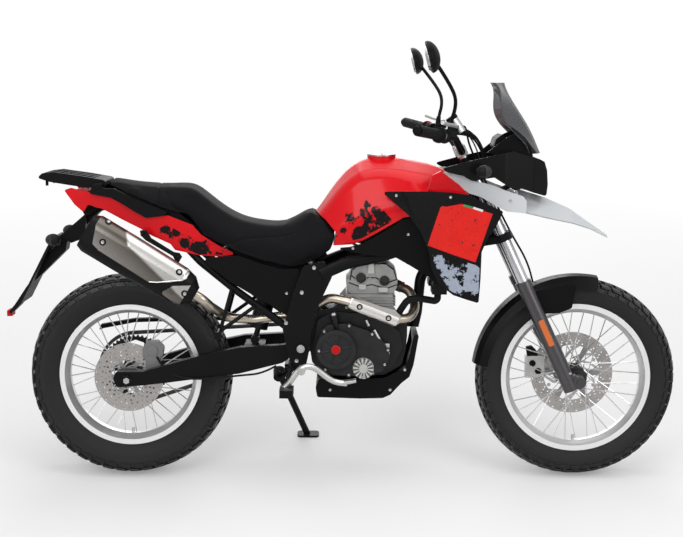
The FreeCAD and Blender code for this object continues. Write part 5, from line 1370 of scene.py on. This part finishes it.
class MOTORCYCLE_OT_engine(bpy.types.Operator):
    """Add the filler cap, clutch arm, sensor, head bosses and seams, lead and breather of the engine"""
    bl_idname = "motorcycle.engine"
    bl_label = "Engine details"

    SEAMS = (
        ((702, 641), (708, 673), (733, 692), (814, 694), (840, 675), (850, 642)),
        ((704, 657), (734, 634), (759, 650), (784, 650), (809, 630), (848, 643)),
        ((698, 633), (734, 620), (772, 627), (816, 614), (850, 627)),
    )

    def execute(self, context):
        rods("oil_filler_cap", "plastic",
             ((653, -120, 530), (653, -131, 530), 0.0145, None, 12, 0.0012),
             ((653, -130, 530), (653, -134, 530), 0.009, 0.008, 24))
        rods("clutch_centre_cap", "red_plastic", ((659, -163.5, 433), (659, -168, 433), 0.0125, 0.0115, 40, 0.0008))
        rods("filter_cover_boss", "alloy", ((745, -148, 371), (745, -152.5, 371), 0.015, 0.0135, 48, 0.0006))
        rods("clutch_arm", "casting",
             ((662, -136, 493), (654, -140, 526), 0.0075, 0.0105, 32, 0.001),
             ((654, -140, 526), (651, -141, 540), 0.0115, 0.0115, 32, 0.001))
        rods("clutch_shafts", "zinc",
             ((651, -141, 539), (650, -141, 545), 0.0085, 0.0075, 32, 0.0008),
             ((778, -126, 491), (797, -129, 456), 0.0055, None, 24, 0.0008),
             ((753, -124, 522), (762, -126, 503), 0.005, None, 24, 0.0008))
        slabs("sensor_plate", "alloy", (((803, 449), (827, 449), (828, 407), (805, 406)), -124, -136, 3, 1.5))
        slabs("head_bosses", "alloy",
              (((757, 663), (779, 663), (776, 703), (760, 703)), -74, -86, 3, 1.5),
              (((729, 611), (753, 611), (753, 629), (729, 629)), -74, -83, 3, 1.5),
              (((792, 603), (822, 603), (822, 619), (792, 619)), -74, -83, 3, 1.5))
        for i, path in enumerate(self.SEAMS):
            laid_line("head_seam_%d" % (i + 1), "cylinder_head", path, "casting", 1.9)
        hose("plug_lead", "frame", ((768, -20, 700), (770, -58, 718), (748, -70, 742), (700, -60, 760)), 3.6)
        hose("breather_hose", "frame", ((640, -70, 540), (606, -90, 560), (590, -88, 610), (604, -70, 668)), 6.5)
        return {"FINISHED"}


class MOTORCYCLE_OT_exhaust(bpy.types.Operator):
    """Fold the edges of the heat shields and fasten them"""
    bl_idname = "motorcycle.exhaust"
    bl_label = "Exhaust details"

    LIP = ((-103, 793), (-91, 767), (-60, 745), (77, 656), (97, 651), (193, 659), (209, 680))
    EDGE = ((-58, 868), (7, 835), (36, 807), (187, 706), (205, 684))

    def execute(self, context):
        laid_line("shield_lip", "exhaust_shields", self.LIP, "lip", 2.0, 5.0)
        laid_line("shield_edge", "exhaust_shields", self.EDGE, "lip", 1.2, 5.0)
        mesh = bmesh.new()
        for x, z in SHIELD_BOLTS:
            place, out = on_side("exhaust_shields", x, z, -1)
            add_round(mesh, place - out * 0.0005, place + out * 0.0014, 0.011, 0.0105, 36, 0.0005)
        new_piece("shield_washers", mesh, "frame", "muffler")
        rods("header_shield", "lip", ((852, -142, 523), (700, -142, 582), 0.022, None, 48, 0.004))
        rods("header_shield_washers", "muffler",
             *(((x, -161.5, z), (x, -164.2, z), 0.0095, None, 36, 0.0004) for x, z in HEADER_BOLTS))
        mesh = bmesh.new()
        for x, z in HEADER_BOLTS:
            add_bolt(mesh, bike(x, -164.0, z), outward(-1), 0.006, 0.0035)
        new_piece("header_shield_bolts", mesh, "frame", "zinc")
        return {"FINISHED"}


class MOTORCYCLE_OT_cockpit(bpy.types.Operator):
    """Mirrors, instrument glass, switches, clamp bolts and the filler cap's lock"""
    bl_idname = "motorcycle.cockpit"
    bl_label = "Cockpit"

    def execute(self, context):
        self.mirrors()
        self.instrument()
        self.switches()
        self.filler()
        return {"FINISHED"}

    def mirrors(self):
        """Egg-shaped housings on bent stems, and their glass."""
        bodies = bmesh.new()
        outline = [(0.84 * x, 0.84 * y) for x, y in ((-74, -30), (-40, -46), (40, -46), (74, -30), (76, 16),
                                                    (44, 46), (-44, 46), (-76, 16))]
        for side, hand in SIDES:
            place = (UPRIGHT @ Matrix.Translation(Vector((922, side * 430, 1334)) * MM)
                     @ Matrix.Rotation(math.radians(76), 4, "Y") @ Matrix.Rotation(math.radians(90), 4, "Z"))
            part = bmesh.new()
            bmesh.ops.create_uvsphere(part, u_segments=64, v_segments=40, radius=1.0)
            for vert in part.verts:
                x, y, z = vert.co
                broad = 1.0 - 0.16 * (1.0 + side * -x) / 2.0
                squared = 1.0 + 0.1 * (x * x * y * y) * 4.0
                wide = min(squared, 1.06) if abs(x) < 0.94 else 1.0
                vert.co = (x * 0.0765 * wide, y * 0.05 * broad * min(squared, 1.12),
                           z * (0.031 if z > 0 else 0.005))
            for face in part.faces:
                face.smooth = True
            merge(bodies, part, place)
            stem = ((996, 278, 1122), (999, 280, 1150), (1010, 292, 1186), (1008, 318, 1222), (984, 358, 1262),
                    (958, 398, 1298), (940, 416, 1322))
            add_tube(bodies, [bike(x, side * y, z) for x, y, z in stem], 5.6)
            add_round(bodies, bike(995, side * 278, 1118), bike(999, side * 280, 1148), 0.0085, 0.0075, 32, 0.001)
            mesh = bmesh.new()
            add_plate(mesh, outline, place @ Matrix.Translation((0, 0, -0.0062)), 1.6, 18, 0.5)
            new_piece("mirror_glass_" + hand, mesh, "steering", "mirror_glass")
        piece = new_piece("mirror_bodies", bodies, "steering", "plastic")
        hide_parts("mirrors")

    def instrument(self):
        """Bezel, display and three warning lamps."""
        rear = frame_on((1154, 0, 1076), (0, -1, 0), (8, 0, 28))
        mesh = bmesh.new()
        add_plate(mesh, ((-62, -12), (62, -12), (62, 12), (-62, 12)),
                  rear @ Matrix.Translation((0, 0, -0.001)), 2.2, 5, 0.6)
        new_piece("instrument_bezel", mesh, "frame", "gloss_black")
        mesh = bmesh.new()
        add_plate(mesh, ((-34, -8.5), (42, -8.5), (42, 8.5), (-34, 8.5)),
                  rear @ Matrix.Translation((0, 0, 0.0008)), 1.0, 3)
        new_piece("instrument_display", mesh, "frame", "lcd")
        for i, key in enumerate(("green", "amber_lens", "red_lens")):
            mesh = bmesh.new()
            spot = rear @ Vector((-0.0505, (7 - 7 * i) * MM, 0.0008))
            add_round(mesh, spot, spot + rear.to_3x3() @ Vector((0, 0, 0.0016)), 0.0022, segments=20)
            new_piece("warning_lamp_%d" % (i + 1), mesh, "frame", key)

    def switches(self):
        """Switch rims and buttons beside the grips, the reservoir's cap, clamp bolts and the bar's ends."""
        along = (GRIP_END - GRIP_ROOT).normalized()
        for side, hand in SIDES:
            def at(distance, up=0.0, back=0.0):
                spot = GRIP_ROOT + along * distance
                return bar(spot.x - back, side * spot.y, spot.z + up)
            mesh = bmesh.new()
            add_round(mesh, at(19, 12), at(19, 25), 0.0062, 0.0052, 24, 0.0008)
            new_piece("stop_switch_" + hand if side < 0 else "horn_button_" + hand, mesh, "steering",
                      "red_plastic")
            mesh = bmesh.new()
            for distance in (4.5, 35.5):
                add_round(mesh, at(distance - 1.6), at(distance + 1.6), 22.5 * MM, segments=48, bevel=0.0006)
            add_round(mesh, at(12, -2, 18), at(12, -2, 25), 0.0048, 0.004, 20, 0.0006)
            add_round(mesh, at(27, -2, 18), at(27, -2, 25), 0.0055, 0.0046, 20, 0.0006)
            new_piece("switch_rims_" + hand, mesh, "steering", "plastic")
        mesh = bmesh.new()
        top, low = bar(32, -247, 314), bar(40, -247, 262)
        way = (top - low).normalized()
        add_round(mesh, top - way * 0.008, top + way * 0.0035, 0.0185, 0.0182, 48, 0.0012)
        new_piece("reservoir_cap", mesh, "steering", "plastic")
        mesh = bmesh.new()
        for y in (-36, 36):
            for x in (17, 41):
                add_bolt(mesh, bar(x, y, 209), (bar(x, y, 210) - bar(x, y, 209)).normalized(), 0.0042, 0.005)
        new_piece("bar_clamp_bolts", mesh, "steering", "zinc")
        mesh = bmesh.new()
        for side in (-1, 1):
            add_round(mesh, bar(35, side * 95, 124), bar(35, side * 95, 133), 0.0165, 0.0155, 36, 0.001)
            add_round(mesh, bar(35, side * 95, 132), bar(35, side * 95, 137), 0.0075, 0.0075, 6)
        new_piece("fork_caps", mesh, "steering", "red_anodised")
        mesh = bmesh.new()
        for side in (-1, 1):
            end = GRIP_END + along * 4
            start, far = bar(end.x, side * end.y, end.z), bar(*(Vector((end.x, side * end.y, end.z))
                                                              + Vector((along.x, side * along.y, along.z)) * 11))
            add_round(mesh, start, far, 0.0135, 0.012, 36, 0.0015)
        new_piece("bar_ends", mesh, "steering", "plastic")

    def filler(self):
        """The filler cap's lock, its three screws and the keyhole."""
        x, _, z = FILLER_CAP
        cap = bike(*FILLER_CAP)
        up = (bike(x, 0, z + 1) - cap).normalized()
        mesh = bmesh.new()
        add_round(mesh, cap - up * 0.001, cap + up * 0.0016, 0.0135, 0.0125, 40, 0.0005)
        for i in range(3):
            angle = math.radians(120 * i + 30)
            add_bolt(mesh, bike(x + 34 * math.cos(angle), 34 * math.sin(angle), z), up, 0.003, 0.0022)
        new_piece("filler_lock", mesh, "fuel_cap", "steel")
        mesh = bmesh.new()
        add_plate(mesh, ((-4.5, -1), (4.5, -1), (4.5, 1), (-4.5, 1)),
                  frame_on((800, 0, 1037.4), (1, 0, 0), (0, 1, 0)), 0.5)
        new_piece("keyhole", mesh, "fuel_cap", "gloss_black")


class MOTORCYCLE_OT_hoses(bpy.types.Operator):
    """Run the brake hoses and control cables"""
    bl_idname = "motorcycle.hoses"
    bl_label = "Hoses and cables"

    def execute(self, context):
        radius = context.scene.motorcycle_details.hose_radius / MM
        places = [bar(38, -238, 276), bar(60, -200, 276), bar(66, -130, 252), bar(58, -62, 206), bar(60, -36, 110)]
        places += [bar(64, -14, -20), bar(70, 10, -120), bar(84, 48, -230)]
        places += [bar(72, 112, -330), bar(66, 124, -440), bar(60, 108, -520)]
        curve_piece("front_brake_hose", "steering", places, radius, "rubber")
        for i, (y, rise, drop) in enumerate(((-150, 262, 96), (-118, 250, 84), (60, 236, 90))):
            curve_piece("bar_lead_%d" % (i + 1), "steering",
                        [bar(12, y - 60, 268 - i * 6), bar(64 + 6 * i, y - 20, rise), bar(98, y * 0.6, 190 - 12 * i),
                         bar(82, y * 0.35, drop)], 3.4, "rubber")
        hose("rear_brake_hose", "frame", ((470, -112, 372), (430, -136, 352), (360, -138, 346), (300, -134, 338),
                                          (200, -132, 330), (120, -118, 350), (92, -100, 396)), radius)
        for side, hand in reversed(SIDES):
            route = [bar(10, side * 262, 282), bar(58, side * 222, 276), bar(92, side * 120, 200),
                     bar(70, side * 56, 90), bike(1046, side * 44, 880), bike(990, side * 52, 780),
                     bike(884, side * 60, 700)]
            cable = as_mesh(curve_piece("control_cable_" + hand, None, route, 2.4, "rubber"))
            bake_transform(cable)
        return {"FINISHED"}


class MOTORCYCLE_OT_wheels(bpy.types.Operator):
    """Treaded tyres, spoke nipples, valves and brake disc faces"""
    bl_idname = "motorcycle.wheels"
    bl_label = "Wheel details"

    WHEELS = (  # name, axle, rim flange, disc Y, ring of buttons, disc face (low, high), arms (reach, root)
        ("front", FRONT_AXLE, 240, 57, 84, (92, 127), (94, 46)),
        ("rear", REAR_AXLE, 228, -76, 60, (56, 104), (58, 34)),
    )

    def execute(self, context):
        for name, axle, flange, disc_y, ring, face, arm in self.WHEELS:
            well = flange - 14.5
            self.nipples(name, axle, well)
            self.disc(name, axle, disc_y, ring, face, arm)
            self.valve(name, axle + Vector((0, 0, -well - 2)))
        self.tyre("front", "front_wheel", FRONT_AXLE, (322, 100, 240, 62), 50)
        self.tyre("rear", "rear_wheel", REAR_AXLE, (326, 130, 228, 84), 44)
        return {"FINISHED"}

    def nipples(self, name, axle, well):
        """A nipple on each spoke, on its line from the rim's well to the hub."""
        mesh = bmesh.new()
        for i in range(SPOKES):
            side, lean = 1 if i % 2 else -1, 1 if (i // 2) % 2 else -1
            angle, foot = math.radians(10 * (i + 0.3)), math.radians(10 * (i + 0.3) - lean * 62)
            head = Vector((well * math.cos(angle), side * (5.5 + 2 * lean), well * math.sin(angle)))
            root = Vector((33 * math.cos(foot), side * (30.8 + 1.8 * lean), 33 * math.sin(foot)))
            start = axle + head + (root - head).normalized() * 15
            add_round(mesh, bike(*start), bike(*(axle + head)), 0.0027, 0.0034, 8)
        new_piece(name + "_spoke_nipples", mesh, name + "_wheel", "alloy")

    def disc(self, name, axle, disc_y, ring, face, arm):
        """Buttons, drilled faces and swept arms of a brake disc."""
        body, mesh, out = name + "_wheel", bmesh.new(), outward(disc_y)
        for i in range(6):
            angle = math.radians(60 * i + 30)
            spot = Vector((ring * math.cos(angle), disc_y + math.copysign(2, disc_y), ring * math.sin(angle)))
            add_bolt(mesh, bike(*(axle + spot)), out, 0.0058, 0.0045)
        new_piece(name + "_disc_buttons", mesh, body, "zinc")
        mesh = bmesh.new()
        low, high = face
        top, skin = disc_y + math.copysign(2.2, disc_y), math.copysign(0.5, disc_y)
        for near, far in ((top, top + skin), (2 * disc_y - top, 2 * disc_y - top - skin)):
            add_lathe(mesh, axle, ((low, near), (high, near), (high, far), (low, far)))
        new_piece(name + "_disc_faces", mesh, body, name + "_face")
        mesh = bmesh.new()
        reach, root = arm
        bend = (reach + root) / 2
        for i in range(10):
            angle = math.tau * i / 10
            corners = [(r, angle + turn) for r, turn in (
                (reach, 0), (bend, 0.34), (root, 0.9), (root, 1.12), (bend, 0.52), (reach, 0.14))]
            add_slab(mesh, [(axle[0] + r * math.cos(a), axle[2] + r * math.sin(a)) for r, a in corners],
                     disc_y + axle[1] - 1.8, disc_y + axle[1] + 1.8)
        new_piece(name + "_disc_arms", mesh, body, "steel")

    def valve(self, name, base):
        mesh = bmesh.new()
        for low, high, radius, tip, bevel in ((0, 30, 0.0042, 0.0038, 0.0003), (22, 34, 0.0052, 0.0044, 0.0006)):
            start, end = (bike(*(base + Vector((0, 0, height)))) for height in (low, high))
            add_round(mesh, start, end, radius, tip, 16, bevel)
        new_piece(name + "_valve", mesh, name + "_wheel", "steel")

    def tyre(self, name, body, axle, sizes, count):
        """Carcass and tread blocks inside the form of the plain tyre."""
        outer, width, flange, rim = sizes
        side, seat = width / 2, flange - 12
        shoulder = 0.9 * side
        half = ((0, outer - 7.5), (0.6 * shoulder, outer - 11.5), (shoulder - 3, outer - 22),
                (side - 4.5, outer - 43), (0.5 * rim + 1, flange + 5), (0.5 * rim - 16, seat + 0.8))
        mesh = bmesh.new()
        add_lathe(mesh, axle, [(r, y) for y, r in half] + [(r, -y) for y, r in reversed(half) if y > 0], 144)

        def crown(station):
            hand, s = math.copysign(1, station), abs(station)
            if s <= 1:
                return hand * shoulder * s, outer - 13 * s, 0.35 * max(0.0, s - 0.9) / 0.1
            past = s - 1
            return hand * (shoulder + (side - shoulder) * past), outer - 13 - 27 * past, min(0.9, 0.35 + past * 1.6)

        for hand, turn in ((1, 0.0), (-1, math.pi / count)):
            for stations, shift in (((0.05, 0.25, 0.46), math.pi / count), ((0.56, 0.78, 0.97, 1.06, 1.22), 0.0),
                                    ((1.32, 1.5, 1.82), math.pi / count)):
                add_lugs(mesh, axle, crown, [hand * s for s in stations], count, turn + shift, hand * 0.035)
        piece = new_piece(name + "_tread", mesh, body, name + "_tyre")
        piece.data.shade_smooth()
        piece.data.set_sharp_from_angle(angle=0.6)
        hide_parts(name + "_tyre")


class MOTORCYCLE_OT_lamps(bpy.types.Operator):
    """Fork leg reflectors"""
    bl_idname = "motorcycle.lamps"
    bl_label = "Lamps and reflectors"

    def execute(self, context):
        for side, hand in SIDES:
            mesh = bmesh.new()
            low, high = bar(35, side * 121, -478), bar(35, side * 121, -388)
            way = (high - low).normalized()
            out = outward(side)
            place = Matrix((way.cross(out), way, out)).transposed().to_4x4()
            place.translation = (low + high) / 2
            add_plate(mesh, ((-9, -45), (9, -45), (9, 45), (-9, 45)),
                      place @ Matrix.Translation((0, 0, -0.003)), 5.5, 5, 1.0)
            new_piece("fork_reflector_" + hand, mesh, "steering", "amber_lens")
        return {"FINISHED"}


class MOTORCYCLE_OT_stage(bpy.types.Operator):
    """Set the floor, the lamps and the camera"""
    bl_idname = "motorcycle.stage"
    bl_label = "Studio"

    def execute(self, context):
        stage = context.scene.motorcycle_stage
        self.floor(stage.floor_width)
        self.world(context.scene)
        self.lamps()
        self.camera(context.scene, stage)
        return {"FINISHED"}

    def floor(self, width):
        """A white floor that turns to plain light away from the machine."""
        mesh = bmesh.new()
        bmesh.ops.create_grid(mesh, x_segments=1, y_segments=1, size=width / 2)
        data = bpy.data.meshes.new("studio_floor")
        mesh.to_mesh(data)
        mesh.free()
        floor = link("studio_floor", data)
        made = Finish("studio_floor", (0.9, 0.9, 0.9), 0.9)
        path = made.node("ShaderNodeLightPath")
        x, y, _ = made.axes(made.place)
        far = ((x * x + y * y).power(0.5) - 1.0) / 2.6
        share = (far.held() * 0.75 + 0.25).lowest(1.0)
        seen = Signal(made.tree, path.outputs["Is Camera Ray"]) * share
        glow = made.node("ShaderNodeEmission", None, Color=(1, 1, 1, 1), Strength=1.0)
        blend = made.node("ShaderNodeMixShader")
        made.feed(blend.inputs[0], seen)
        made.feed(blend.inputs[1], made.shader.outputs[0])
        made.feed(blend.inputs[2], glow.outputs[0])
        output = made.tree.nodes["Material Output"]
        made.feed(output.inputs["Surface"], blend.outputs[0])
        data.materials.append(made.material)

    def world(self, scene):
        """White to the camera and through glass, dimmer in reflections and as light."""
        world = bpy.data.worlds.new("studio")
        world.use_nodes = True
        tree = world.node_tree
        background = tree.nodes["Background"]
        path = tree.nodes.new("ShaderNodeLightPath")
        seen = Signal(tree, path.outputs["Is Camera Ray"])
        seen = seen.highest(Signal(tree, path.outputs["Is Glossy Ray"]) * 0.8)
        seen = seen.highest(Signal(tree, path.outputs["Is Transmission Ray"]))
        strength = seen.highest(0.3)
        tree.links.new(strength.socket, background.inputs["Strength"])
        background.inputs["Color"].default_value = (1, 1, 1, 1)
        scene.world = world

    def lamps(self):
        """Square softboxes: name, place, aim, side in metres, power in watts."""
        for name, place, aim, size, power in (
                ("overhead_softbox", (700, -300, 3600), (700, 0, 500), 3.2, 62),
                ("side_softbox", (-900, -3600, 2300), (600, 0, 600), 2.4, 66),
                ("front_softbox", (3300, -2600, 1900), (900, 0, 600), 2.0, 42),
                ("back_softbox", (600, 3400, 2400), (700, 0, 700), 2.4, 44)):
            lamp = bpy.data.lights.new(name, "AREA")
            lamp.shape, lamp.size, lamp.energy = "SQUARE", size, power
            start, end = bike(*place), bike(*aim)
            turn = (end - start).to_track_quat("-Z", "Y").to_matrix().to_4x4()
            link(name, lamp).matrix_world = Matrix.Translation(start) @ turn

    def camera(self, scene, stage):
        """The photograph's camera, tied to the machine and so leaning with it."""
        data = bpy.data.cameras.new("photo_camera")
        data.lens, data.sensor_width, data.sensor_fit = stage.focal_length, 36.0, "HORIZONTAL"
        data.clip_end = 200.0
        camera = link("photo_camera", data)
        forward = Vector((0, math.cos(stage.pitch), -math.sin(stage.pitch)))
        right = Vector((1, 0, 0))
        up = right.cross(forward)
        tilted_right = right * math.cos(stage.roll) + up * math.sin(stage.roll)
        tilted_up = up * math.cos(stage.roll) - right * math.sin(stage.roll)
        turn = Matrix((tilted_right, tilted_up, -forward)).transposed().to_4x4()
        camera.matrix_world = UPRIGHT @ Matrix.Translation(Vector(CAMERA) * MM) @ turn
        scene.camera = camera
        scene.view_settings.view_transform = "Standard"


CLASSES = [MotorcycleLooks, MotorcycleStage, MotorcycleSeat, MotorcycleDetails, MOTORCYCLE_OT_finishes,
           MOTORCYCLE_OT_seat, MOTORCYCLE_OT_prints, MOTORCYCLE_OT_bodywork,
           MOTORCYCLE_OT_controls, MOTORCYCLE_OT_fasteners, MOTORCYCLE_OT_engine,
           MOTORCYCLE_OT_exhaust, MOTORCYCLE_OT_cockpit, MOTORCYCLE_OT_hoses, MOTORCYCLE_OT_wheels,
           MOTORCYCLE_OT_lamps, MOTORCYCLE_OT_stage]
SETTINGS = {"motorcycle_looks": MotorcycleLooks, "motorcycle_stage": MotorcycleStage,
            "motorcycle_seat": MotorcycleSeat, "motorcycle_details": MotorcycleDetails}
STEPS = ["finishes", "seat", "prints", "bodywork", "controls", "fasteners", "engine", "exhaust",
         "cockpit", "hoses", "wheels", "lamps", "stage"]


class MOTORCYCLE_PT_panel(bpy.types.Panel):
    """Lists the steps that dress the machine"""
    bl_idname = "MOTORCYCLE_PT_panel"
    bl_label = "Motorcycle"
    bl_space_type = "VIEW_3D"
    bl_region_type = "UI"
    bl_category = "Motorcycle"

    def draw(self, context):
        column = self.layout.column()
        for step in STEPS:
            column.operator("motorcycle." + step)
        for name, group in SETTINGS.items():
            for key in group.__annotations__:
                column.prop(getattr(context.scene, name), key)


def register():
    for cls in CLASSES + [MOTORCYCLE_PT_panel]:
        bpy.utils.register_class(cls)
    for name, group in SETTINGS.items():
        setattr(bpy.types.Scene, name, PointerProperty(type=group))


def unregister():
    for name in SETTINGS:
        delattr(bpy.types.Scene, name)
    for cls in reversed(CLASSES + [MOTORCYCLE_PT_panel]):
        bpy.utils.unregister_class(cls)


def main():
    register()
    for step in STEPS:
        getattr(bpy.ops.motorcycle, step)()


if __name__ == "__main__":
    main()
